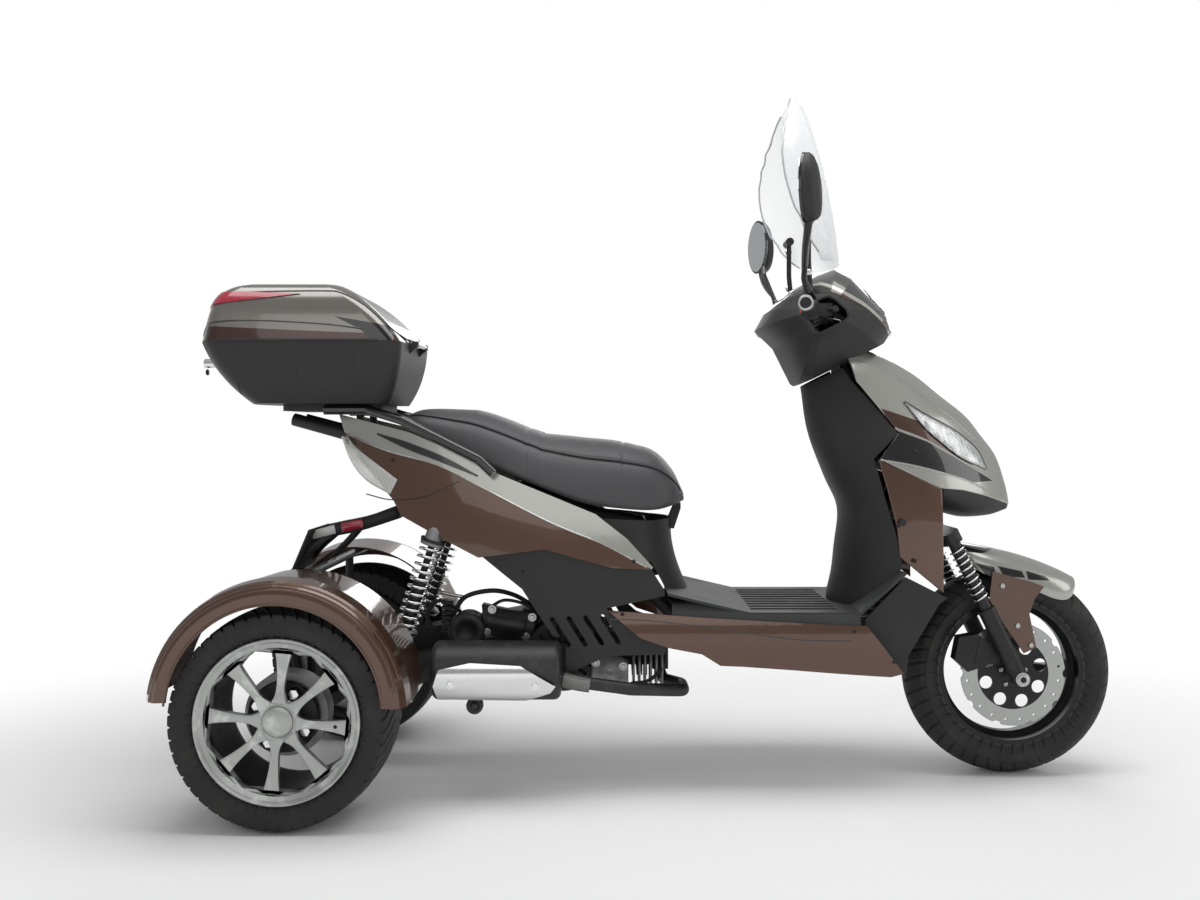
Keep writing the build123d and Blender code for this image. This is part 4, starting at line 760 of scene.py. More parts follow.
class TRIKE_OT_tyres(bpy.types.Operator):
    """Adds the three tyres with grooved treads and lined sidewalls."""

    bl_idname = "trike.tyres"
    bl_label = "Add the Tyres"

    def execute(self, context):
        settings = context.scene.trike_tyres
        self.tyre("front_tyre", "front_wheel", settings.groove, settings.front_blocks, FRONT_TREAD)
        for side in ("right", "left"):
            self.tyre(f"rear_tyre_{side}", f"rear_wheel_{side}", settings.groove, settings.rear_blocks,
                      REAR_TREAD)
        return {"FINISHED"}

    @staticmethod
    def tyre(node, body, groove, blocks, form):
        """Carcass r(a) = R - drop (a/h)^2.2 over the tread, then a bulged sidewall down to the bead;
        the tread is cut by two rings and by slanting grooves, both smoothed square waves of the
        angle and the distance across."""
        crown, slant, bead_share, tread_share = form
        lo, hi = low(node), high(node)
        centre = middle(node)
        outer, half = (hi[2] - lo[2]) / 2, (hi[1] - lo[1]) / 2
        bead_r = outer * bead_share
        edge = half * tread_share
        drop = outer * crown * 0.62
        top = [(outer - drop * (k / 4) ** 2.2, edge * k / 4) for k in range(5)]
        side = [(outer - drop * 1.55, half * 0.965), ((outer + bead_r) / 2, half * 0.985),
                (bead_r * 1.13, half * 0.9), (bead_r * 1.055, half * 0.74), (bead_r, half * 0.70)]
        profile = curve(np.array(top + side), 44)
        profile = np.vstack([profile[::-1] * (1, -1), profile[1:]])
        inner = np.array([[bead_r, profile[-1, 1]], [bead_r, profile[0, 1]]])
        angle = np.linspace(0, 2 * np.pi, TYRE_ROWS, endpoint=False)[:, None]
        r, a = profile[:, 0][None], profile[:, 1][None]
        share = np.abs(a) / edge

        def notch(value, width):
            """1 inside a groove centred on whole numbers, 0 outside, with steep walls."""
            away = np.abs(value - np.round(value))
            return np.clip((width - away) / 0.05, 0, 1)

        rings = notch(share / 0.36 - 0.5, 0.075) * (share < 0.5)
        slants = notch(angle * blocks / (2 * np.pi) + share * slant + 0.5 * (a > 0), 0.11)
        slants = slants * np.clip((share - 0.22) / 0.05, 0, 1) * np.clip((1.14 - share) / 0.06, 0, 1)
        lines = 0.12 * notch((r - bead_r * 1.10) / 0.014, 0.09) * (share > 1.02)
        r = r - groove * (np.maximum(rings, slants) * (share < 1.2) + lines)
        points = np.stack([centre[0] + r * np.cos(angle), centre[1] + a + 0 * angle,
                           centre[2] + r * np.sin(angle)], axis=-1)
        back = np.stack([centre[0] + inner[:, 0] * np.cos(angle), centre[1] + inner[:, 1] + 0 * angle,
                         centre[2] + inner[:, 0] * np.sin(angle)], axis=-1)
        Surface().grid(np.concatenate([points, back], axis=1), True, True).object(
            f"{node}_treaded", "tyre", body, "tyre", (node,))


LUG_START = 62.5
LUG_R = 0.055
LUG_SEAT = 0.0476
VALVE_ANGLE = -5
VALVE_R = 0.134
VALVE_SEAT = 0.04
# radius and height along the valve
VALVE = [(0, 0), (0.0034, 0), (0.0034, 0.018), (0.0024, 0.021), (0.0024, 0.03), (0.0036, 0.0302),
         (0.0036, 0.036), (0, 0.0365)]
DISC_BOLT_R = 0.03


class TRIKE_OT_wheels(bpy.types.Operator):
    """Adds the rear wheels' nuts and valves, the brake disc's bolts and the front axle's nuts."""

    bl_idname = "trike.wheels"
    bl_label = "Add the Wheels' Small Parts"

    def execute(self, context):
        for side, way in (("right", -1.0), ("left", 1.0)):
            body = f"rear_wheel_{side}"
            hub = np.array(JOINTS[body]["pos_m"])
            rim = (high if way > 0 else low)(f"rear_rim_{side}")[1]
            nuts = Surface()
            for step in range(4):
                angle = math.radians(LUG_START + 90 * step)
                seat = around(hub, LUG_R, angle, rim - way * LUG_SEAT)
                nuts.grid(hexagon(seat, (0, way, 0), 0.0245, 0.0155))
            nuts.object(f"lug_nuts_{side}", "chrome", body, "chrome", smooth=False)
            angle = math.radians(VALVE_ANGLE)
            foot = around(hub, VALVE_R, angle, rim - way * VALVE_SEAT)
            lean = (-math.cos(angle) * 0.5, way * 0.87, -math.sin(angle) * 0.5)
            valve = Surface().grid(lathe(VALVE, foot, lean, 12))
            valve.object(f"valve_{side}", "rubber", body, "tyre")
        axle = np.array(JOINTS["front_wheel"]["pos_m"])
        face = low("front_disc")[1]
        bolts = Surface()
        for step in range(5):
            angle = math.radians(18 + 72 * step)
            seat = around(axle, DISC_BOLT_R, angle, face - 0.0002)
            bolts.grid(pan(seat, RIGHT, 0.006, 0.0045))
        bolts.object("disc_bolts", "steel", "front_wheel", "steel")
        end = low("fork")[1]
        nut = Surface().grid(hexagon((axle[0], end + 0.005, axle[2]), RIGHT, 0.027, 0.0048))
        nut.grid(lathe(washer(0.016, 0.0016), (axle[0], end + 0.0052, axle[2]), RIGHT, 28))
        nut.mirrored().object("axle_nuts", "steel", "steering", "alloy_black", smooth=False)
        return {"FINISHED"}


class SeatSettings(bpy.types.PropertyGroup):
    """Form of the seat's cover."""

    crown: bpy.props.FloatProperty(name="Crown",
                                   description="How full the sides stand, 1 for an ellipse",
                                   default=0.62)
    seam: bpy.props.FloatProperty(name="Seam Depth", description="Depth of the sewn seams",
                                  default=0.0035, unit="LENGTH")


class TRIKE_OT_seat(bpy.types.Operator):
    """Adds the stepped seat: a crowned vinyl cover with sewn seams and piping."""

    bl_idname = "trike.seat"
    bl_label = "Add the Seat's Cover"

    def execute(self, context):
        settings = context.scene.trike_seat
        lo, hi = low("seat"), high("seat")
        size = hi - lo
        keys = np.array(SEAT_KEYS)
        stations = curve(keys, 230)
        x = lo[0] + stations[:, 0] * size[0]
        w = stations[:, 1] * size[1] / 2
        base = lo[2] + stations[:, 2] * size[2]
        top = lo[2] + stations[:, 3] * size[2]
        points = self.sections(x, w, base, top, settings)
        ends = np.concatenate([self.drawn_in(points[:1], 4)[::-1], points,
                               self.drawn_in(points[-1:], 4)])
        seat = Surface().grid(ends).object("seat_cover", "vinyl", "seat", "vinyl", ("seat",))
        piping = Surface()
        for column in self.seams:
            line = points[6:-6, column]
            piping.grid(bar(line, 0.0017, 8))
        piping.object("seat_piping", "rubber", "seat", "vinyl")
        return {"FINISHED"}

    def sections(self, x, w, base, top, settings):
        """Upper half: y = w cos(t)|cos(t)|^(c-1), z = base + rise * sin(t)^c, a squared ellipse that
        leans in towards its top; lower half: flat with rounded edges. Seams are narrow dips along
        chosen columns and across the step."""
        count = 120
        t = np.linspace(0, np.pi, count)
        c = settings.crown
        lean = 1 - 0.20 * np.sin(t) ** 2
        y = -np.sign(np.cos(t)) * np.abs(np.cos(t)) ** c * lean
        rise = np.sin(t) ** c
        self.seams = [int(np.argmin(np.abs(t - angle))) for angle in (SIDE_SEAM, np.pi - SIDE_SEAM)]
        dip = sum(np.exp(-((t - t[column] - side * 0.035) / 0.016) ** 2)
                  for column in self.seams for side in (-1, 1))
        share = (x - x.min()) / (x.max() - x.min())
        across = sum(np.exp(-((share - place) / width) ** 2) for place, width in CROSS_SEAMS)
        puff = 0.004 * np.abs(np.sin(share * np.pi * 2.4))[:, None] * (np.sin(t) ** 2)
        depth = settings.seam * (dip[None] + across[:, None] * (np.sin(t) ** 0.5)[None])
        height = (top - base)[:, None]
        shrink = 1 - depth / np.maximum(height, 0.02) * 0.8
        py = w[:, None] * y * (1 - depth / 0.15)
        pz = base[:, None] + (height - 0.005) * rise * shrink + puff
        upper = np.stack([x[:, None] + 0 * py, py, np.minimum(pz, top[:, None])], axis=-1)
        s = np.linspace(1, -1, 26)[1:-1]
        under_y = w[:, None] * s * (1 - 0.02 * (1 - s ** 8))
        under_z = base[:, None] + 0 * s
        under = np.stack([x[:, None] + 0 * under_y, under_y, under_z], axis=-1)
        return np.concatenate([upper, under], axis=1)

    @staticmethod
    def drawn_in(ring, steps):
        """Closes an end: the ring shrinks to its centre in a few rounded steps."""
        centre = ring.mean(axis=1, keepdims=True)
        shares = np.cos(np.linspace(0, np.pi / 2, steps + 1)[1:])[:, None, None]
        return centre + (ring - centre) * shares


SIDE_SEAM = 0.62
# place along the seat and width, as shares of its length
CROSS_SEAMS = [(0.435, 0.006), (0.78, 0.005)]
# share of the length, share of the width, and the shares of the height of its underside and its top
SEAT_KEYS = [(0.0, 0.61, 0.836, 0.956), (0.059, 0.737, 0.764, 0.998), (0.199, 0.83, 0.589, 0.985),
             (0.259, 0.86, 0.50, 0.973), (0.355, 0.90, 0.384, 0.896), (0.477, 0.96, 0.245, 0.772),
             (0.495, 0.97, 0.222, 0.751), (0.636, 0.97, 0.077, 0.704), (0.776, 0.924, 0.017, 0.67),
             (0.885, 0.83, 0.0, 0.59), (0.956, 0.655, 0.038, 0.40), (1.0, 0.363, 0.077, 0.16)]


class TRIKE_OT_body_lines(bpy.types.Operator):
    """Adds the raised beads, the parting lines and the screws on the body."""

    bl_idname = "trike.body_lines"
    bl_label = "Add the Body's Lines and Screws"

    def execute(self, context):
        self.fender_beads()
        self.parting_lines()
        self.screws()
        return {"FINISHED"}

    @staticmethod
    def arc(centre, radius, start, end, count=30):
        """Points on a circle in side view, angles in degrees."""
        t = np.radians(np.linspace(start, end, count))
        return np.stack([centre[0] + radius * np.cos(t), 0 * t, centre[2] + radius * np.sin(t)], axis=1)

    def fender_beads(self):
        """Three raised arcs round each rear wheel arch."""
        hub = np.array(JOINTS["rear_wheel_right"]["pos_m"])
        centre = hub + (0, 0, ARCH_RISE)
        lines = Surface()
        for radius, start, end in ARCH_BEADS:
            path = laid(self.arc(centre, radius, start, end, 60), "fenders", -1)
            path[:, 1] += 0.0003
            lines.grid(bar(path, 0.0026, 8, 0.75, RIGHT))
        lines.mirrored().object("fender_beads", "brown", "chassis", "paint_brown")

    @staticmethod
    def parting_lines():
        """Dark grooves where two mouldings meet."""
        dark = Surface()
        for keys, node, width in BODY_LINES:
            dark.grid(bead(keys, node, -1, width, 0.0007, 50, sink=0.2))
        dark.mirrored().object("parting_lines", "gloss_black", "chassis", "gloss_black")

    @staticmethod
    def screws():
        """Round heads on the body, the bolts of the fork's plates and the two bolts of the muffler's
        guard."""
        heads = Surface()
        for x, z, node in BODY_SCREWS:
            spot = laid([(x, 0, z), (x + 0.001, 0, z)], node, -1)[0]
            heads.grid(pan(spot + (0, 0.0002, 0), RIGHT, 0.0048, 0.0022))
        heads.mirrored().object("body_screws", "frame", "chassis", "frame_black")
        bright = Surface()
        for x, z, node in FENDER_SCREWS:
            spot = laid([(x, 0, z), (x + 0.001, 0, z)], node, -1)[0]
            bright.grid(hexagon(spot + (0, 0.0002, 0), RIGHT, 0.013, 0.0045))
        bright.mirrored().object("fork_plate_bolts", "steel", "steering", "steel", smooth=False)
        guard = Surface()
        face = low("muffler_guard")[1]
        for x, z in GUARD_BOLTS:
            guard.grid(hexagon((x, face + 0.0035, z), RIGHT, 0.0155, 0.003))
            guard.grid(lathe(washer(0.0105, 0.0015), (x, face + 0.0048, z), RIGHT, 24))
        guard.object("guard_bolts", "chrome", "chassis", "chrome", smooth=False)


ARCH_RISE = 0.024
# radius, first and last angle in degrees
ARCH_BEADS = [(0.2555, 14, 172), (0.2455, 10, 174), (0.2175, 4, 176)]
# keys, the solid they lie on, and the line's width
BODY_LINES = [
    ([(-0.660, 0, 0.668), (-0.600, 0, 0.655), (-0.520, 0, 0.664), (-0.445, 0, 0.698)], "side_panels",
     0.0028),
    ([(-0.112, 0, 0.394), (-0.02, 0, 0.392), (0.16, 0, 0.372), (0.30, 0, 0.353), (0.425, 0, 0.349)],
     "side_skirts", 0.0026),
]
# x, z and the solid
BODY_SCREWS = [(-0.60, 0.745, "side_panels"), (-0.055, 0.522, "side_panels"),
               (-0.08, 0.405, "side_skirts"), (0.43, 0.37, "side_skirts"), (-0.30, 0.50, "side_covers"),
               (0.535, 0.60, "apron_sides"), (0.575, 0.52, "apron_sides"), (0.52, 0.30, "side_skirts")]
GUARD_BOLTS = [(-0.450, 0.268), (-0.268, 0.264)]
FENDER_SCREWS = [(0.866, 0.315, "fender_sides"), (0.835, 0.360, "fender_sides"),
                 (0.800, 0.452, "fender_sides")]


class SpringSettings(bpy.types.PropertyGroup):
    """Windings of the springs."""

    rear_turns: bpy.props.IntProperty(name="Rear Turns", description="Turns of each rear spring",
                                      default=11)
    rear_wire: bpy.props.FloatProperty(name="Rear Wire", description="Radius of the rear springs' wire",
                                       default=0.0036, unit="LENGTH")
    fork_turns: bpy.props.IntProperty(name="Fork Turns", description="Turns of each fork spring",
                                      default=9)
    fork_wire: bpy.props.FloatProperty(name="Fork Wire", description="Radius of the fork springs' wire",
                                       default=0.0023, unit="LENGTH")


LEG_AHEAD = 0.025
LEG_ASIDE = 0.1
FORK_SPRING_FOOT = 0.408
FORK_SPRING_TOP = 0.530
FORK_SPRING_R = 0.0172


class TRIKE_OT_springs(bpy.types.Operator):
    """Adds the fork's springs: wires wound round the line of each leg."""

    bl_idname = "trike.springs"
    bl_label = "Add the Springs"

    def execute(self, context):
        settings = context.scene.trike_springs
        axis = np.array(JOINTS["steering"]["axis"], float)
        pivot = np.array(JOINTS["steering"]["pos_m"], float)
        front = np.cross((0, 1, 0), axis)
        springs = Surface()

        def leg(z):
            """Middle of the right fork leg at a height."""
            aside = np.array((0, -LEG_ASIDE, 0))
            return pivot + axis * (z - pivot[2]) / axis[2] + front * LEG_AHEAD + aside

        t = np.linspace(0, 2 * np.pi * settings.fork_turns, 420)[:, None]
        rise = np.linspace(0, 1, 420)[:, None]
        foot, top = leg(FORK_SPRING_FOOT), leg(FORK_SPRING_TOP)
        round_leg = np.cos(t) * front + np.sin(t) * np.array((0, 1, 0))
        path = foot + rise * (top - foot) + FORK_SPRING_R * round_leg
        springs.grid(bar(path, settings.fork_wire, 8, 1.0, axis))
        springs.mirrored().object("fork_springs", "chrome", "steering", "steel")
        return {"FINISHED"}


def plate(outline, y_from, y_to, bevel=0.0008):
    """Flat plate with the side outline given as (x, z) points: rings of the outline, drawn in at
    both faces."""
    outline = np.asarray(outline, float)
    centre = outline.mean(axis=0)
    reach = np.linalg.norm(outline - centre, axis=1, keepdims=True)
    small = centre + (outline - centre) * (1 - bevel / reach)
    rings = [(centre + 0 * outline, y_from), (small, y_from), (outline, y_from + bevel),
             (outline, y_to - bevel), (small, y_to), (centre + 0 * outline, y_to)]
    return np.stack([np.stack([ring[:, 0], np.full(len(ring), y), ring[:, 1]], axis=1)
                     for ring, y in rings])


def slab(first, second, y_from, y_to, count=24):
    """Plate between two lines in side view: at each step its section is a rectangle from one line to
    the other."""
    top, bottom = (side_line(line, count) for line in (first, second))
    corners = [top + (0, y_from, 0), top + (0, y_to, 0), bottom + (0, y_to, 0), bottom + (0, y_from, 0)]
    return capped(np.stack(corners, axis=1))


def patch(first, second, node, side, lift, rows=14, count=60, dome=0.0):
    """Skin between two lines in side view, laid on a solid, lifted off it and domed by sin(pi s)
    sin(pi t) in its middle."""
    a, b = (side_line(line, count) for line in (first, second))
    s = np.linspace(0, 1, rows)[:, None, None]
    sheet = a[None] * (1 - s) + b[None] * s
    flat = sheet.reshape(-1, 3)
    flat = laid(flat, node, side).reshape(sheet.shape)
    bulge = np.sin(np.pi * s[..., 0]) ** 0.6 * np.sin(np.pi * np.linspace(0, 1, count))[None] ** 0.6
    flat[..., 1] += side * (lift + dome * bulge)
    return flat


def sheet(surface, thickness, offset=-1.0):
    """Gives an open skin its wall."""
    wall = surface.modifiers.new("wall", "SOLIDIFY")
    wall.thickness = thickness
    wall.offset = offset
    wall.use_rim = True
    return surface


class RimSettings(bpy.types.PropertyGroup):
    """Form of the rear rims."""

    spokes: bpy.props.IntProperty(name="Spokes", description="Spokes of each rear rim", default=8,
                                  min=3, max=12)


class TRIKE_OT_rims(bpy.types.Operator):
    """Adds the rear wheels' rims: eight flared spokes, a lip, a domed cap and a barrel."""

    bl_idname = "trike.rims"
    bl_label = "Add the Rear Rims"

    def execute(self, context):
        count = context.scene.trike_rims.spokes
        for side, way in (("right", -1.0), ("left", 1.0)):
            body = f"rear_wheel_{side}"
            hub = np.array(JOINTS[body]["pos_m"])
            hub[1] = 0.0
            face = Surface()
            for step in range(count):
                face.grid(self.spoke(hub, way, math.radians(SPOKE_START + 360 / count * step), count))
            face.grid(lathe(LIP, hub, (0, way, 0), 128), True, True)
            face.grid(lathe(HUB_RING, hub, (0, way, 0), 64))
            t = np.linspace(0, np.pi / 2, 9)
            dome = np.stack([0.0315 * np.cos(t), 0.4165 + 0.0065 * np.sin(t)], axis=1)
            face.grid(lathe(np.vstack([CAP_FOOT, dome]), hub, (0, way, 0), 64))
            face.object(f"rim_face_{side}", "alloy_face", body, "alloy", (f"rear_rim_{side}",))
            barrel = Surface().grid(lathe(BARREL, hub, (0, way, 0), 96), True, True)
            barrel.grid(lathe(HUB_DISC, hub, (0, way, 0), 64))
            for step in range(4):
                angle = math.radians(LUG_START + 90 * step)
                seat = around(hub, LUG_R, angle, way * SOCKET_Y)
                barrel.grid(lathe(LUG_SOCKET, seat, (0, way, 0), 28))
            barrel.object(f"rim_barrel_{side}", "alloy_dark", body, "alloy_black")
        return {"FINISHED"}

    @staticmethod
    def spoke(hub, way, angle, count):
        """Rectangular section with a crowned outer face carried out along the radius, its half width
        read from a table."""
        table = np.array(SPOKE_WIDTHS)
        r = np.concatenate([np.linspace(0.036, 0.149, 40), [0.1494, 0.157]])
        smooth = curve(np.stack([table[:, 0], table[:, 1], 0 * table[:, 0]], axis=1), 200)
        half = np.interp(r, smooth[:, 0], smooth[:, 1])
        share = r * math.sin(math.pi / count) * SPOKE_OVERLAP
        half[-2:] = share[-2:]
        half = np.minimum(half, share)
        s = np.array([-1, -0.985, -0.9, -0.5, 0, 0.5, 0.9, 0.985, 1, 0.9, 0, -0.9])
        top = FACE_Y - 0.0025 * np.sin(np.clip((r - 0.045) / 0.1, 0, 1) * np.pi)
        level = np.array([-0.0012, -0.0004, 0, 0.0003, 0.0003, 0.0003, 0, -0.0004, -0.0012, -0.017,
                          -0.019, -0.017])
        u = np.array((math.cos(angle), 0, math.sin(angle)))
        v = np.array((-math.sin(angle), 0, math.cos(angle)))
        reach = r * np.sqrt(np.clip(1 - (half / r) ** 2 * (half > 0.03), 0.05, 1))
        height = (top[:, None] + level) * way
        return capped(hub + reach[:, None, None] * u + (half[:, None] * s)[..., None] * v
                      + height[..., None] * (0, 1, 0))


SPOKE_OVERLAP = 1.01
SPOKE_START = -5.0
FACE_Y = 0.4185
SOCKET_Y = 0.372
# radius and distance from the middle plane, or from its own foot in the socket
HUB_RING = [(0, 0.396), (0.040, 0.396), (0.044, 0.400), (0.044, 0.414), (0.041, 0.4185),
            (0.0335, 0.4185), (0.0325, 0.4165), (0, 0.4165)]
CAP_FOOT = [(0, 0.4155), (0.0315, 0.4155)]
HUB_DISC = [(0, 0.368), (0.072, 0.368), (0.073, 0.370), (0.073, 0.3775), (0.070, 0.3794), (0, 0.3794)]
LUG_SOCKET = [(0, 0), (0.0195, 0), (0.0195, 0.010), (0.018, 0.0115), (0.0145, 0.0115), (0.0135, 0.0085),
              (0, 0.0085)]
# radius and half width
SPOKE_WIDTHS = [(0.036, 0.0150), (0.042, 0.0142), (0.050, 0.0108), (0.060, 0.0086), (0.075, 0.0080),
                (0.095, 0.0094), (0.115, 0.0118), (0.132, 0.0148), (0.149, 0.0190)]
# radius and distance from the middle plane
LIP = [(0.1485, 0.400), (0.1485, 0.4175), (0.1500, 0.4190), (0.1560, 0.4195), (0.1605, 0.4225),
       (0.1640, 0.4262), (0.1670, 0.4268), (0.1688, 0.4250), (0.1688, 0.4180), (0.1620, 0.4120),
       (0.1560, 0.4060), (0.1530, 0.400)]
BARREL = [(0.1530, 0.4000), (0.1530, 0.3000), (0.1535, 0.2620), (0.1630, 0.2470), (0.1688, 0.2440),
          (0.1688, 0.2396), (0.1660, 0.2392), (0.1580, 0.2405), (0.1500, 0.2460), (0.1470, 0.2620),
          (0.1450, 0.3000), (0.1485, 0.3800), (0.1485, 0.4000)]


def nose_keys(z):
    """Half width, nose and bluntness of the front shell at a height, read from the smoothed table of
    its levels."""
    keys = curve(NOSE_LEVELS, 300)
    return [np.interp(z, keys[::-1, 0], keys[::-1, column]) for column in (1, 2, 3)]


def nose_width(x, z):
    """Half width of the front shell at place x and height z: w (1 - q^a)^b, where q is the share of
    the way from the rear edge to the nose and a makes the side keep its fullness at mid length; b
    rises from 0.5, a round nose, to a ridge."""
    w, nose, b = nose_keys(z)
    a = np.log(1 - NOSE_FULLNESS ** (1 / b)) / math.log(NOSE_REACH)
    q = np.clip((x - NOSE_REAR) / (nose - NOSE_REAR), 0, 1)
    return w * (1 - q ** a) ** b


class TRIKE_OT_nose(bpy.types.Operator):
    """Adds the front shell with its ridge, the sides below it, and the lamps."""

    bl_idname = "trike.nose"
    bl_label = "Add the Nose"

    def execute(self, context):
        shell = Surface().grid(self.both(self.shell(NOSE_UPPER, 170, 120)), False)
        sheet(shell.object("nose_shell", "apron_paint", "chassis", "body_silver", ("apron",)), 0.0032)
        sides = Surface().grid(self.shell(NOSE_LOWER, 90, 40), False).mirrored()
        sheet(sides.object("nose_sides", "brown", "chassis", "body_brown", ("apron_sides",)), 0.0032)
        self.lamps()
        return {"FINISHED"}

    def shell(self, edges, rows, columns):
        """One half of the shell between a lower and an upper edge, from its rear edge to its front
        one."""
        v = np.linspace(0, 1, rows)[:, None]
        s = np.linspace(0, 1, columns)[None]
        share = 1 - (1 - s) ** 1.7 if edges["front"] is None else s
        (sl, zl), (su, zu) = (np.array(edges[key]).T for key in ("lower", "upper"))
        z = np.interp(share, sl, zl) * (1 - v) + np.interp(share, su, zu) * v
        zr, xr = np.array(edges["rear"]).T
        rear = np.interp(z[:, :1], zr, xr)
        if edges["front"] is None:
            front = nose_keys(z)[1]
        else:
            zf, xf = np.array(edges["front"]).T
            front = np.interp(z, zf, xf)
        x = rear + (front - rear) * share
        return np.stack([x, -nose_width(x, z), z], axis=-1)

    @staticmethod
    def both(half):
        """A half grid and its mirror image, joined along the middle plane."""
        other = (half * (1, -1, 1))[:, ::-1]
        return np.concatenate([half, other[:, 1:]], axis=1)

    def skin(self, first, second, rows, count, lift):
        """Patch of the shell between two lines in side view, lifted off it square to the middle
        plane."""
        a, b = (side_line(line, count) for line in (first, second))
        s = np.linspace(0, 1, rows)[:, None, None]
        flat = a[None] * (1 - s) + b[None] * s
        flat[..., 1] = -nose_width(flat[..., 0], flat[..., 2]) - lift
        return flat

    def lamps(self):
        """The lamps in the nose: a faceted bowl, a domed clear cover, a dark frame round it and the
        creases beside it."""
        rows, count = 30, 90
        down, along = (np.sin(np.pi * np.linspace(0, 1, steps)) for steps in (rows, count))
        s = down[:, None] ** 0.5 * along[None] ** 0.4
        bowl = Surface().grid(self.skin(LAMP_UPPER, LAMP_LOWER, rows, count, 0.0008), False).mirrored()
        sheet(bowl.object("lamp_bowls", "facets", "chassis", "chrome"), 0.0012, 1.0)
        domed = self.skin(LAMP_UPPER, LAMP_LOWER, rows, count, 0.003 + 0.004 * s)
        cover = Surface().grid(domed, False).mirrored()
        covers = cover.object("lamp_covers", "lens", "chassis", "lens_clear", ("apron_lamps",))
        sheet(covers, 0.0014, 1.0)
        frame_lines = Surface()
        for line, radius in ((LAMP_UPPER, 0.0036), (LAMP_LOWER, 0.0018)):
            path = side_line(line, 90)
            path[:, 1] = -nose_width(path[:, 0], path[:, 2]) - 0.0015
            frame_lines.grid(bar(path, radius, 10))
        frame_lines.mirrored().object("lamp_frames", "gloss_black", "chassis", "gloss_black")
        creases = Surface()
        for keys, radius in NOSE_CREASES:
            path = side_line(keys, 70)
            path[:, 1] = -nose_width(path[:, 0], path[:, 2]) + radius * 0.35
            creases.grid(bar(path, radius, 8))
        creases.mirrored().object("nose_creases", "silver", "chassis", "body_silver")


NOSE_REAR = 0.40
NOSE_FULLNESS = 0.76
NOSE_REACH = 0.58
# height, half width, place of the nose and bluntness
NOSE_LEVELS = [(1.012, 0.078, 0.462, 0.52), (0.990, 0.104, 0.540, 0.53), (0.950, 0.128, 0.612, 0.55),
               (0.900, 0.145, 0.675, 0.60), (0.849, 0.158, 0.738, 0.65), (0.800, 0.166, 0.778, 0.71),
               (0.754, 0.171, 0.812, 0.77), (0.700, 0.175, 0.832, 0.82), (0.641, 0.178, 0.845, 0.86),
               (0.560, 0.179, 0.846, 0.86), (0.430, 0.178, 0.846, 0.86)]
# lower and upper edge as (share of the length, height), rear and front edge as (height, x)
NOSE_UPPER = {"lower": [(0, 0.748), (0.43, 0.681), (0.60, 0.675), (0.78, 0.660), (1, 0.636)],
              "upper": [(0, 0.998), (1, 0.998)],
              "rear": [(0.748, 0.497), (0.807, 0.545), (0.926, 0.452), (0.998, 0.4345)], "front": None}
NOSE_LOWER = {"lower": [(0, 0.528), (1, 0.443)], "upper": [(0, 0.746), (1, 0.679)],
              "rear": [(0.443, 0.560), (0.528, 0.542), (0.590, 0.536), (0.679, 0.514), (0.746, 0.495)],
              "front": [(0.443, 0.649), (0.653, 0.646), (0.679, 0.646)]}
LAMP_UPPER = [(0.563, 0.877), (0.609, 0.850), (0.688, 0.811), (0.745, 0.768), (0.770, 0.722)]
LAMP_LOWER = [(0.563, 0.877), (0.606, 0.822), (0.650, 0.784), (0.702, 0.748), (0.770, 0.722)]
# (x, z) keys and radius
NOSE_CREASES = [
    ([(0.470, 0.968), (0.550, 0.938), (0.622, 0.885), (0.690, 0.838), (0.748, 0.790)], 0.0022),
    ([(0.480, 0.905), (0.530, 0.890), (0.562, 0.876)], 0.0020),
    ([(0.536, 0.817), (0.612, 0.789), (0.700, 0.742), (0.788, 0.697)], 0.0026),
    ([(0.499, 0.746), (0.576, 0.733), (0.660, 0.712), (0.730, 0.690), (0.822, 0.646)], 0.0024),
]


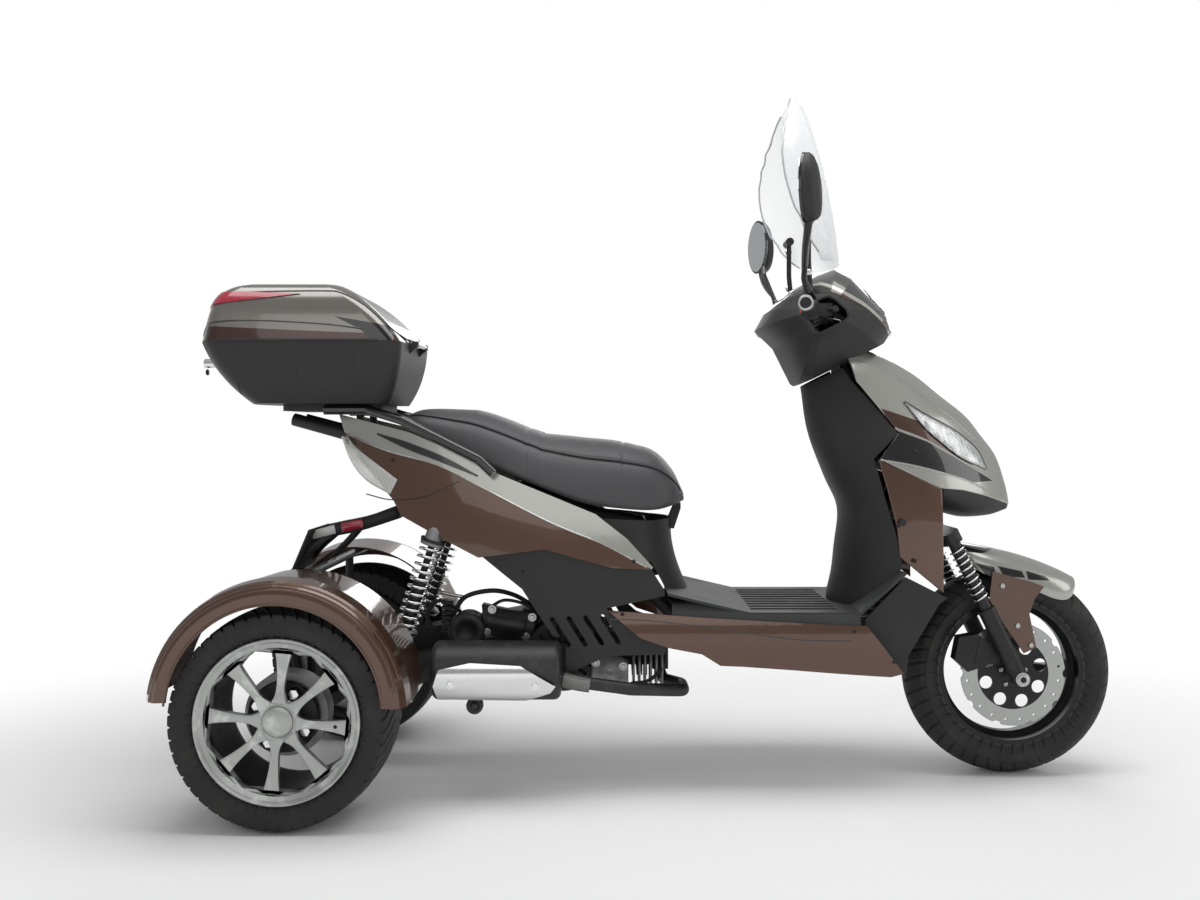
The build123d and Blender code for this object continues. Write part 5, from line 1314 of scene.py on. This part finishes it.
class TRIKE_OT_rear_end(bpy.types.Operator):
    """Adds the rear springs, the shocks' sleeves, the plate holder with its mudguard, and the tail's
    lamps."""

    bl_idname = "trike.rear_end"
    bl_label = "Add the Rear End's Parts"

    def execute(self, context):
        self.springs(context.scene.trike_springs)
        self.plate_holder()
        self.tail()
        return {"FINISHED"}

    @staticmethod
    def springs(settings):
        """The shocks' coils, p = foot + s (top - foot) + r (cos(t) u + sin(t) v), with the sleeves
        that hold them."""
        foot, top = np.array(SHOCK_FOOT), np.array(SHOCK_TOP)
        way = (top - foot) / np.linalg.norm(top - foot)
        u, v, _ = basis(way)
        rise = np.linspace(COIL_FROM, COIL_TO, 620)[:, None]
        t = rise * 2 * np.pi * settings.rear_turns / (COIL_TO - COIL_FROM)
        path = foot + (top - foot) * rise + COIL_R * (np.cos(t) * u + np.sin(t) * v)
        coil = Surface().grid(bar(path, settings.rear_wire, 8, 1.0, way))
        coil.mirrored().object("rear_coils", "chrome", "chassis", "chrome")
        length = np.linalg.norm(top - foot)
        sleeve = Surface()
        for profile in (TOP_SLEEVE, SPRING_SEAT):
            sleeve.grid(lathe(np.array(profile) * (1, length), foot, way, 32))
        sleeve.mirrored().object("shock_sleeves", "cast", "chassis", "cast_grey")

    @staticmethod
    def plate_holder():
        """The arm behind the seat, the flat holder it carries, the stays under it, and its
        reflectors and lamps."""
        holder = Surface()
        for upper, lower, half in HOLDER_SLABS:
            holder.grid(slab(upper, lower, -half, half))
        for way in (-1, 1):
            for keys in HOLDER_STAYS:
                path = curve(np.array(keys) * (1, way, 1), 16)
                holder.grid(bar(path, 0.008, 10, 0.5, (1, 0, 0.8)))
        holder.object("plate_holder", "black", "chassis", "trim_black")
        side = HOLDER_SIDE
        red = Surface().grid(plate(SIDE_REFLECTOR, side - 0.004, side))
        red.mirrored().object("side_reflectors", "red", "chassis", "lens_red")
        white = Surface().grid(plate(PLATE_LAMP, side - 0.004, side))
        white.mirrored().object("plate_lamps", "white_plastic", "chassis", "lens_clear")

    @staticmethod
    def tail():
        """The tail's wedge lenses with their pale edges, and the dark leaves on the side strips."""
        skin = patch(TAIL_UPPER, TAIL_LOWER, "side_panels", -1, 0.0012, 12, 50, 0.002)
        lens = Surface().grid(skin, False)
        sheet(lens.mirrored().object("tail_wedges", "lens_tail", "chassis", "lens_clear"), 0.0022, 0.0)
        edge = Surface()
        for line in (TAIL_UPPER, TAIL_LOWER):
            edge.grid(bead(flat_keys(line), "side_panels", -1, 0.0034, 0.0028, 60))
        edge.grid(bead(flat_keys(PANEL_EDGE), "side_panels", -1, 0.0042, 0.003, 120))
        edge.mirrored().object("tail_edges", "silver_bright", "chassis", "body_silver")
        leaf = Surface().grid(patch(LEAF_UPPER, LEAF_LOWER, "side_strips", -1, 0.0009, 8, 40), False)
        leaves = leaf.mirrored().object("strip_leaves", "gloss_black", "chassis", "gloss_black")
        sheet(leaves, 0.0012, 1.0)


# the coil's ends are shares of the way from the shock's foot to its top
SHOCK_FOOT = (-0.590, -0.149, 0.300)
SHOCK_TOP = (-0.489, -0.149, 0.618)
COIL_FROM = 0.215
COIL_TO = 0.80
COIL_R = 0.0228
# radius, and the share of the shock's length
TOP_SLEEVE = [(0, 0.795), (0.0265, 0.795), (0.0275, 0.80), (0.0275, 0.815), (0.0215, 0.83),
              (0.0205, 0.90), (0.016, 0.925), (0, 0.925)]
SPRING_SEAT = [(0, 0.16), (0.025, 0.16), (0.0275, 0.175), (0.0275, 0.20), (0.0255, 0.21), (0, 0.21)]
# upper line, lower line and half width
HOLDER_SLABS = [
    ([(-0.606, 0.637), (-0.690, 0.607), (-0.760, 0.592), (-0.806, 0.580), (-0.826, 0.560)],
     [(-0.606, 0.604), (-0.690, 0.577), (-0.755, 0.563), (-0.800, 0.552), (-0.818, 0.543)], 0.042),
    ([(-0.560, 0.745), (-0.585, 0.690), (-0.612, 0.632)],
     [(-0.540, 0.745), (-0.562, 0.690), (-0.590, 0.602)], 0.030),
    ([(-0.806, 0.582), (-0.846, 0.487)], [(-0.800, 0.580), (-0.840, 0.485)], 0.088),
]
# keys of the left stays
HOLDER_STAYS = [
    [(-0.700, 0.034, 0.586), (-0.737, 0.036, 0.545), (-0.775, 0.036, 0.508)],
    [(-0.770, 0.040, 0.566), (-0.800, 0.052, 0.540), (-0.835, 0.060, 0.500)],
]
HOLDER_SIDE = -0.0425
SIDE_REFLECTOR = [(-0.742, 0.594), (-0.690, 0.604), (-0.688, 0.584), (-0.739, 0.572)]
PLATE_LAMP = [(-0.812, 0.575), (-0.757, 0.590), (-0.753, 0.570), (-0.806, 0.556)]
TAIL_UPPER = [(-0.714, 0.800), (-0.690, 0.772), (-0.640, 0.735), (-0.590, 0.699)]
TAIL_LOWER = [(-0.716, 0.798), (-0.694, 0.742), (-0.660, 0.700), (-0.606, 0.668)]
PANEL_EDGE = [(-0.712, 0.803), (-0.616, 0.766), (-0.496, 0.733), (-0.389, 0.682), (-0.242, 0.609),
              (-0.128, 0.562), (-0.025, 0.508)]
LEAF_UPPER = [(-0.640, 0.806), (-0.560, 0.783), (-0.480, 0.752), (-0.404, 0.712)]
LEAF_LOWER = [(-0.640, 0.802), (-0.570, 0.770), (-0.490, 0.741), (-0.404, 0.708)]


class TRIKE_OT_engine(bpy.types.Operator):
    """Adds the engine's outer parts: the ribbed starter drum, cast covers, cooling fins, bolts,
    hoses and the muffler's lug."""

    bl_idname = "trike.engine"
    bl_label = "Add the Engine's Outer Parts"

    def execute(self, context):
        cast = Surface()
        s = np.linspace(0, 1, 60)
        ribs = DRUM_R - DRUM_RIB * (np.abs((s * DRUM_RIBS) % 1 - 0.5) < 0.22)
        drum = np.vstack([[(0, 0)], np.stack([ribs, 0.002 + s * 0.052], axis=1), DRUM_END])
        cast.grid(lathe(drum, DRUM_FOOT, RIGHT, 48))
        for cover in CAST_COVERS:
            cast.grid(slab(*cover))
        for step in range(7):
            z = 0.352 + 0.011 * step
            upper = [(-0.496, z), (-0.470, z - 0.001)]
            lower = [(-0.496, z - 0.005), (-0.470, z - 0.006)]
            cast.grid(slab(upper, lower, -0.105, -0.050, 3))
        cast.object("starter_drum", "dark_cast", "chassis", "cast_grey")
        block = Surface().grid(slab(*CYLINDER_COVER))
        for step in range(6):
            x = -0.056 + 0.013 * step
            near, far = [(x, 0.306), (x, 0.224)], [(x + 0.005, 0.306), (x + 0.005, 0.224)]
            block.grid(slab(near, far, -0.126, -0.020, 3))
        block.object("cylinder_side", "cast", "chassis", "cast_grey")
        bolts = Surface()
        for x, z, y in ENGINE_BOLTS:
            bolts.grid(hexagon((x, y, z), RIGHT, 0.0125, 0.006))
            bolts.grid(lathe(washer(0.0095, 0.0016), (x, y + 0.0004, z), RIGHT, 20))
        bolts.object("engine_bolts", "steel", "chassis", "steel", smooth=False)
        hoses = Surface()
        for keys, radius in HOSES:
            hoses.grid(bar(curve(keys, 60), radius, 10))
        hoses.object("engine_hoses", "rubber", "chassis", "rubber")
        sleeve = Surface().grid(bar(curve(PIPE_BRAID, 20), 0.0172, 20))
        sleeve.object("pipe_braid", "braid", "chassis", "steel")
        rod = Surface().grid(bar(curve(THROTTLE_ROD, 8), 0.0042, 10))
        rod.object("throttle_rod", "steel", "chassis", "steel")
        lug = Surface().grid(lathe(LUG_EYE, MUFFLER_LUG, RIGHT, 32), True, True)
        lug.grid(lathe(LUG_BOLT, MUFFLER_LUG, RIGHT, 20))
        lug.object("muffler_lug", "exhaust", "chassis", "frame_black")
        return {"FINISHED"}


DRUM_FOOT = (-0.436, -0.062, 0.352)
DRUM_R = 0.043
DRUM_RIB = 0.004
DRUM_RIBS = 8
DRUM_END = [(0.040, 0.057), (0.024, 0.060), (0.022, 0.054), (0, 0.054)]
# upper line, lower line, outer and inner side
CAST_COVERS = [
    ([(-0.402, 0.412), (-0.340, 0.398), (-0.275, 0.392)],
     [(-0.396, 0.345), (-0.345, 0.335), (-0.286, 0.322)], -0.112, -0.070),
    ([(-0.392, 0.394), (-0.350, 0.385), (-0.300, 0.378)],
     [(-0.388, 0.360), (-0.350, 0.352), (-0.306, 0.342)], -0.118, -0.110),
]
CYLINDER_COVER = ([(-0.150, 0.292), (-0.105, 0.300), (-0.066, 0.284)],
                  [(-0.150, 0.226), (-0.105, 0.220), (-0.066, 0.232)], -0.135, -0.096)
PIPE_BRAID = [(-0.212, -0.199, 0.262), (-0.180, -0.2005, 0.2545), (-0.152, -0.200, 0.2500)]
THROTTLE_ROD = [(-0.502, -0.095, 0.440), (-0.470, -0.097, 0.433), (-0.438, -0.098, 0.427)]
MUFFLER_LUG = (-0.404, -0.216, 0.209)
LUG_EYE = [(0.008, -0.009), (0.0175, -0.009), (0.0185, -0.007), (0.0185, 0.007), (0.0175, 0.009),
           (0.008, 0.009)]
LUG_BOLT = [(0, -0.007), (0.0085, -0.007), (0.0085, 0.011), (0.006, 0.0125), (0, 0.0125)]
# x, z and y
ENGINE_BOLTS = [(-0.300, 0.340, -0.1125), (-0.378, 0.402, -0.1125), (-0.286, 0.384, -0.1125),
                (-0.390, 0.350, -0.1125), (-0.140, 0.284, -0.1352), (-0.078, 0.276, -0.1352),
                (-0.078, 0.240, -0.1352), (-0.140, 0.236, -0.1352), (-0.108, 0.262, -0.1352)]
# keys and radius
HOSES = [
    ([(-0.470, -0.090, 0.386), (-0.440, -0.110, 0.430), (-0.380, -0.105, 0.444),
      (-0.330, -0.080, 0.430), (-0.285, -0.060, 0.400)], 0.0055),
    ([(-0.455, -0.080, 0.392), (-0.500, -0.100, 0.420), (-0.530, -0.090, 0.390),
      (-0.520, -0.080, 0.345)], 0.0045),
    ([(-0.390, -0.100, 0.400), (-0.350, -0.118, 0.424), (-0.300, -0.110, 0.412),
      (-0.270, -0.090, 0.380)], 0.0038),
    ([(-0.120, -0.120, 0.300), (-0.090, -0.140, 0.318), (-0.040, -0.130, 0.312),
      (-0.010, -0.090, 0.290)], 0.0048),
    ([(-0.060, -0.128, 0.236), (-0.020, -0.140, 0.246), (0.012, -0.120, 0.272), (0.020, -0.080, 0.300)],
     0.0042),
]


class TRIKE_OT_chin(bpy.types.Operator):
    """Adds the dark chin that closes the nose below its pale lower strip."""

    bl_idname = "trike.chin"
    bl_label = "Add the Nose's Chin"

    def execute(self, context):
        rows, count = 16, 60
        a, b = (side_line(line, count) for line in (CHIN_UPPER, CHIN_LOWER))
        s = np.linspace(0, 1, rows)[:, None]
        flat = a[None] * (1 - s[..., None]) + b[None] * s[..., None]
        half = nose_width(flat[..., 0], a[None, :, 2] + 0 * flat[..., 2]) - 0.003
        flat[..., 1] = -half * np.sqrt(np.clip(1 - s ** 2 * 0.97, 0, 1))
        other = (flat * (1, -1, 1))[::-1]
        chin = Surface().grid(np.concatenate([flat, other]), False)
        sheet(chin.object("nose_chin", "black", "chassis", "trim_black"), 0.003, 0.0)
        return {"FINISHED"}


CHIN_UPPER = [(0.648, 0.684), (0.700, 0.679), (0.760, 0.664), (0.842, 0.640)]
CHIN_LOWER = [(0.655, 0.632), (0.715, 0.610), (0.790, 0.612), (0.838, 0.626)]


class TRIKE_OT_mirrors(bpy.types.Operator):
    """Adds the mirrors' deep housings and their flat tapering stems."""

    bl_idname = "trike.mirrors"
    bl_label = "Add the Mirrors"

    def execute(self, context):
        face = np.array(MIRROR_FACE)
        u, _, w = basis(MIRROR_WAY)
        up = np.array((0.0, 0.0, 1.0))
        t = np.linspace(0, 2 * np.pi, 64, endpoint=False)
        rings = [face + depth * w + (MIRROR_HALF[0] * scale * np.cos(t))[:, None] * u
                 + (MIRROR_HALF[1] * scale * np.sin(t) - drop)[:, None] * up
                 for depth, scale, drop in HOUSING_RINGS]
        housing = Surface().grid(np.stack(rings))
        stem = curve(MIRROR_STEM, 60)
        width = np.interp(np.linspace(0, 1, 60), [0, 0.2, 0.6, 0.85, 1],
                          [0.016, 0.013, 0.0088, 0.0095, 0.014])
        housing.grid(bar(stem, width, 14, 0.62, (1, 0, 0)))
        housing.mirrored().object("mirror_housings", "black", "steering", "gloss_black")
        return {"FINISHED"}


MIRROR_FACE = (0.2905, -0.3655, 1.312)
MIRROR_HALF = (0.0525, 0.0715)
MIRROR_WAY = (0.93, -0.37, 0.0)
MIRROR_STEM = [(0.304, -0.362, 1.262), (0.303, -0.350, 1.232), (0.306, -0.300, 1.198),
               (0.314, -0.240, 1.166), (0.319, -0.214, 1.140), (0.330, -0.196, 1.120)]
# depth, scale and drop of each ring
HOUSING_RINGS = [(0.006, 0.0, 0.0), (0.006, 0.96, 0.0), (0.007, 0.99, 0.0), (0.014, 0.99, 0.0),
                 (0.022, 0.93, 0.003), (0.029, 0.80, 0.010), (0.034, 0.58, 0.020),
                 (0.0365, 0.28, 0.032), (0.037, 0.0, 0.036)]


class TRIKE_OT_case(bpy.types.Operator):
    """Adds the top case's seal, the lid's rails, the tub's ribs and the key in its lock."""

    bl_idname = "trike.case"
    bl_label = "Add the Top Case's Trim"

    def execute(self, context):
        lo, hi = low("box_lid"), high("box_lid")
        seam = lo[2] + 0.0045
        lip = Surface()
        side = np.linspace(lo[0] + 0.062, hi[0] - 0.068, 40)
        path = laid(np.stack([side, 0 * side, seam + 0 * side], axis=1), "box_lid", -1)
        lip.grid(bar(path, 0.0032, 8, 0.7, RIGHT))
        lip.mirrored().object("lid_seal", "black", "box_lid", "trim_black")
        rails = Surface()
        for keys, width in CASE_RAILS:
            path = [(lo[0] + u * (hi[0] - lo[0]), 0, lo[2] + v * (hi[2] - lo[2])) for u, v in keys]
            rails.grid(bead(path, "box_lid", -1, width, 0.0022, 40))
        rails.mirrored().object("lid_rails", "gloss_black", "box_lid", "lid_grey")
        ribs = Surface()
        tub_low, tub_high = low("box_tub"), high("box_tub")
        for u in (0.24, 0.5, 0.76):
            x = tub_low[0] + u * (tub_high[0] - tub_low[0])
            path = [(x, 0, tub_low[2] + rise) for rise in (0.02, 0.065, 0.118)]
            ribs.grid(bead(path, "box_tub", -1, 0.007, 0.0014, 24))
        ribs.mirrored().object("tub_ribs", "black", "chassis", "trim_black")
        self.key()
        return {"FINISHED"}

    @staticmethod
    def key():
        """The key's bow: flattened rings round the lock, from centre to rim and back."""
        lock = middle("box_lock")
        rear = low("box_lock")[0]
        key = Surface()
        s = np.linspace(0, 2 * np.pi, 20, endpoint=False)
        rim = np.stack([np.cos(s) * 0.0095, np.sin(s) * 0.0075], axis=1)
        rings = [np.stack([rear + 0.004 + y + 0 * s, lock[1] + rim[:, 0] * size,
                           lock[2] - 0.021 + rim[:, 1] * size], axis=1)
                 for size, y in KEY_RINGS]
        key.grid(np.stack(rings))
        key.object("key_bow", "black", "chassis", "trim_black")


# size and depth of the key bow's rings
KEY_RINGS = [(0.0, 0.0), (0.92, 0.0), (1.0, 0.0008), (1.0, 0.0024), (0.92, 0.0032), (0.0, 0.0032)]
# keys as shares of the lid's length and height, and the rail's width
CASE_RAILS = [
    ([(0.05, 0.14), (0.12, 0.30), (0.30, 0.36), (0.62, 0.30), (0.80, 0.22)], 0.0045),
    ([(0.13, 0.80), (0.35, 0.845), (0.62, 0.86), (0.70, 0.82), (0.80, 0.62), (0.90, 0.30),
      (0.955, 0.10)], 0.005),
]


class TRIKE_OT_controls(bpy.types.Operator):
    """Adds the ribbed grips, the bar ends, the switch housings and the stop switch."""

    bl_idname = "trike.controls"
    bl_label = "Add the Bar's Controls"

    def execute(self, context):
        inner, outer = np.array(GRIP_INNER), np.array(GRIP_OUTER)
        way = (outer - inner) / np.linalg.norm(outer - inner)
        length = np.linalg.norm(outer - inner)
        s = np.linspace(0, 1, 150)
        cut = (np.abs((s * GRIP_RIBS) % 1 - 0.5) < 0.18) * (s > 0.12) * (s < 0.95)
        ribs = GRIP_R - GRIP_CUT * cut + GRIP_FLANGE * (s < 0.05)
        profile = np.stack([ribs, 0.004 + s * (length - 0.006)], axis=1)
        profile = np.vstack([[(GRIP_BORE, 0.004)], profile, [(GRIP_BORE, length - 0.002)]])
        grips = Surface().grid(lathe(profile, inner, way, 40))
        grips.mirrored().object("grip_sleeves", "rubber", "steering", "rubber")
        ends = Surface().grid(lathe(BAR_END, outer + way * 0.0028, way, 40))
        ends.mirrored().object("bar_ends", "steel", "steering", "rubber")
        pod = inner - way * 0.016
        block = Surface()
        t = np.linspace(0, 2 * np.pi, 40, endpoint=False)
        square = (np.abs(np.cos(t)) ** 4 + np.abs(np.sin(t)) ** 4) ** -0.25
        u, v, w = basis(way)
        wide, tall = SWITCH_HALF
        rings = [pod + (wide * size * square * np.cos(t))[:, None] * u
                 + (tall * size * square * np.sin(t))[:, None] * v + h * w for size, h in SWITCH_RINGS]
        block.grid(np.stack(rings))
        block.mirrored().object("switch_housings", "black", "steering", "trim_black")
        outline = [(pod[0] - 0.024, pod[2] + 0.004), (pod[0] - 0.016, pod[2] + 0.010),
                   (pod[0] - 0.016, pod[2] - 0.006), (pod[0] - 0.024, pod[2] - 0.006)]
        red = Surface().grid(plate(outline, pod[1] - 0.007, pod[1] + 0.005))
        red.object("stop_switch", "red_plastic", "steering", "lens_red")
        return {"FINISHED"}


GRIP_INNER = (0.332, -0.214, 1.078)
GRIP_OUTER = (0.303, -0.330, 1.078)
GRIP_R = 0.0163
GRIP_BORE = 0.0115
GRIP_CUT = 0.0011
GRIP_FLANGE = 0.002
GRIP_RIBS = 26
SWITCH_HALF = (0.0195, 0.0215)
BAR_END = [(0, 0.0), (0.0165, 0.0), (0.0172, 0.002), (0.0172, 0.0075), (0.0155, 0.0098),
           (0.0125, 0.0098), (0.0115, 0.0082), (0, 0.0082)]
# size and place along the bar of the housing's rings
SWITCH_RINGS = [(0.0, -0.019), (0.85, -0.019), (1.0, -0.015), (1.0, 0.012), (0.9, 0.0165),
                (0.0, 0.0165)]


class TRIKE_OT_screen(bpy.types.Operator):
    """Adds the bound edge of the windscreen and the bolts of its stays."""

    bl_idname = "trike.screen"
    bl_label = "Add the Windscreen's Edge"

    def execute(self, context):
        points = triangles("windscreen").reshape(-1, 3)
        levels = np.linspace(points[:, 2].min() + 0.001, points[:, 2].max() - 0.001, 34)
        near = np.abs(points[None, :, 2] - levels[:, None]) < 0.012
        rear = np.where(near & (points[None, :, 1] < 0), points[None, :, 1], np.inf).argmin(axis=1)
        rim = curve(points[rear], 140)
        rim[:, 2] = np.sort(rim[:, 2])
        kernel = np.ones(9) / 9
        smooth = np.stack([np.convolve(np.pad(rim[:, k], 4, "edge"), kernel, "valid")
                           for k in range(3)], axis=1)
        edge = Surface().grid(bar(smooth, 0.0023, 8))
        edge.mirrored().object("screen_edge", "clear_edge", "steering", "screen")
        bolts = Surface()
        for x, z in SCREEN_BOLTS:
            spot = laid([(x, 0, z), (x + 0.0005, 0, z)], "screen_stays", -1)[0]
            bolts.grid(pan(spot + (0, 0.0001, 0), RIGHT, 0.0085, 0.0042))
        bolts.mirrored().object("screen_bolts", "chrome", "steering", "chrome")
        return {"FINISHED"}


SCREEN_BOLTS = [(0.342, 1.170), (0.342, 1.262)]


class StudioSettings(bpy.types.PropertyGroup):
    """Sizes of the studio."""

    floor_size: bpy.props.FloatProperty(name="Floor Size", description="Side of the floor",
                                        default=16.0, unit="LENGTH")
    camera_distance: bpy.props.FloatProperty(name="Camera Distance",
                                             description="Camera from the middle plane",
                                             default=2.6, unit="LENGTH")
    camera_height: bpy.props.FloatProperty(name="Camera Height", description="Camera above the floor",
                                           default=0.813, unit="LENGTH")
    lens: bpy.props.FloatProperty(name="Lens", description="Focal length of the camera in millimetres",
                                  default=32.58)


class TRIKE_OT_studio(bpy.types.Operator):
    """Adds the pale floor, the lamps, the world and the camera."""

    bl_idname = "trike.studio"
    bl_label = "Add the Studio"

    def execute(self, context):
        settings = context.scene.trike_studio
        self.floor(settings.floor_size)
        self.world(context.scene)
        for name, place, aim, size, power in LAMPS:
            self.lamp(name, place, aim, size, power)
        self.camera(context.scene, settings)
        context.scene.view_settings.view_transform = "Standard"
        return {"FINISHED"}

    @staticmethod
    def floor(size):
        """A sheet that fades from paper, which takes the shadow, to plain white far from the object."""
        h = size / 2
        mesh = bpy.data.meshes.new("studio_floor")
        mesh.from_pydata([(-h, -h, 0), (h, -h, 0), (h, h, 0), (-h, h, 0)], [], [(0, 1, 2, 3)])
        floor = bpy.data.objects.new("studio_floor", mesh)
        bpy.context.scene.collection.objects.link(floor)
        f = Finish("studio_floor")
        x, y, _ = f.axes()
        far = ((x * x) * 0.55 + y * y) ** 0.5
        speck = f.noise(300.0, 2.0)
        paper = f.node("ShaderNodeBsdfDiffuse", None,
                       {"Color": f.mix(speck, (0.93, 0.93, 0.93), (0.95, 0.95, 0.95))})
        glow = f.node("ShaderNodeEmission", None, {"Color": (1.0, 1.0, 1.0), "Strength": 1.0})
        f.output(f.node("ShaderNodeMixShader", None,
                        {0: far.step(0.85, 1.8), 1: paper.outputs[0], 2: glow.outputs[0]}).outputs[0])
        mesh.materials.append(f.material)

    @staticmethod
    def world(scene):
        """Full white to the camera and through clear parts, dimmer as light on the object."""
        scene.world = bpy.data.worlds.new("studio")
        f = Finish("studio", scene.world)
        path = f.node("ShaderNodeLightPath")
        seen = Val(f, path.outputs["Is Camera Ray"]).most(Val(f, path.outputs["Is Transmission Ray"]))
        strength = seen * (1 - WORLD_LIGHT) + WORLD_LIGHT
        shade = f.node("ShaderNodeBackground", None, {"Color": (1.0, 1.0, 1.0), "Strength": strength})
        f.node("ShaderNodeOutputWorld", None, {"Surface": shade.outputs[0]})

    @staticmethod
    def lamp(name, place, aim, size, power):
        """A rectangular area light that faces the point it is aimed at."""
        light = bpy.data.lights.new(name, "AREA")
        light.shape = "RECTANGLE"
        light.size, light.size_y = size
        light.energy = power
        lamp = bpy.data.objects.new(name, light)
        lamp.location = place
        lamp.rotation_euler = (Vector(aim) - Vector(place)).to_track_quat("-Z", "Y").to_euler()
        bpy.context.scene.collection.objects.link(lamp)

    @staticmethod
    def camera(scene, settings):
        """A level camera square to the middle plane, its frame shifted as shares of the frame's
        width."""
        data = bpy.data.cameras.new("camera")
        data.sensor_width = 36.0
        data.lens = settings.lens
        data.shift_x, data.shift_y = CAMERA_SHIFT
        camera = bpy.data.objects.new("camera", data)
        camera.location = (CAMERA_X, -settings.camera_distance, settings.camera_height)
        camera.rotation_euler = (math.radians(90), 0, 0)
        scene.collection.objects.link(camera)
        scene.camera = camera


CAMERA_X = -0.0965
CAMERA_SHIFT = (-0.0125, -1 / 60)
WORLD_LIGHT = 0.36
# name, place, aim, size and power
LAMPS = [
    ("overhead", (0.0, -0.3, 3.0), (0.0, 0.0, 0.4), (3.4, 1.6), 56.0),
    ("front_fill", (-0.4, -3.6, 1.9), (0.0, 0.0, 0.6), (3.2, 1.6), 17.0),
    ("far_side", (0.6, 3.2, 1.8), (0.0, 0.0, 0.7), (3.0, 1.4), 30.0),
    ("nose", (3.4, -0.8, 1.5), (0.5, 0.0, 0.6), (1.4, 1.8), 16.0),
]


class TRIKE_PT_panel(bpy.types.Panel):
    """Lists the scooter's operators."""

    bl_idname = "TRIKE_PT_panel"
    bl_label = "Trike Scooter"
    bl_space_type = "VIEW_3D"
    bl_region_type = "UI"
    bl_category = "Trike Scooter"

    def draw(self, context):
        for operator in OPERATORS:
            self.layout.operator(operator.bl_idname)


OPERATORS = (TRIKE_OT_finish_nodes, TRIKE_OT_tyres, TRIKE_OT_rims, TRIKE_OT_wheels, TRIKE_OT_nose,
             TRIKE_OT_chin, TRIKE_OT_rear_end, TRIKE_OT_engine, TRIKE_OT_seat, TRIKE_OT_body_lines,
             TRIKE_OT_springs, TRIKE_OT_case, TRIKE_OT_controls, TRIKE_OT_mirrors, TRIKE_OT_screen,
             TRIKE_OT_studio)
GROUPS = {"trike_paint": PaintSettings, "trike_tyres": TyreSettings, "trike_rims": RimSettings,
          "trike_springs": SpringSettings, "trike_seat": SeatSettings, "trike_studio": StudioSettings}
CLASSES = (*GROUPS.values(), *OPERATORS, TRIKE_PT_panel)


def register():
    """Registers the classes and puts each group of settings on the scene."""
    for cls in CLASSES:
        bpy.utils.register_class(cls)
    for name, group in GROUPS.items():
        setattr(bpy.types.Scene, name, bpy.props.PointerProperty(type=group))


def unregister():
    """Takes everything that register added away again."""
    for name in GROUPS:
        delattr(bpy.types.Scene, name)
    for cls in reversed(CLASSES):
        bpy.utils.unregister_class(cls)


def main():
    """Runs every operator in order."""
    register()
    for operator in OPERATORS:
        family, name = operator.bl_idname.split(".")
        getattr(getattr(bpy.ops, family), name)()


if __name__ == "__main__":
    main()
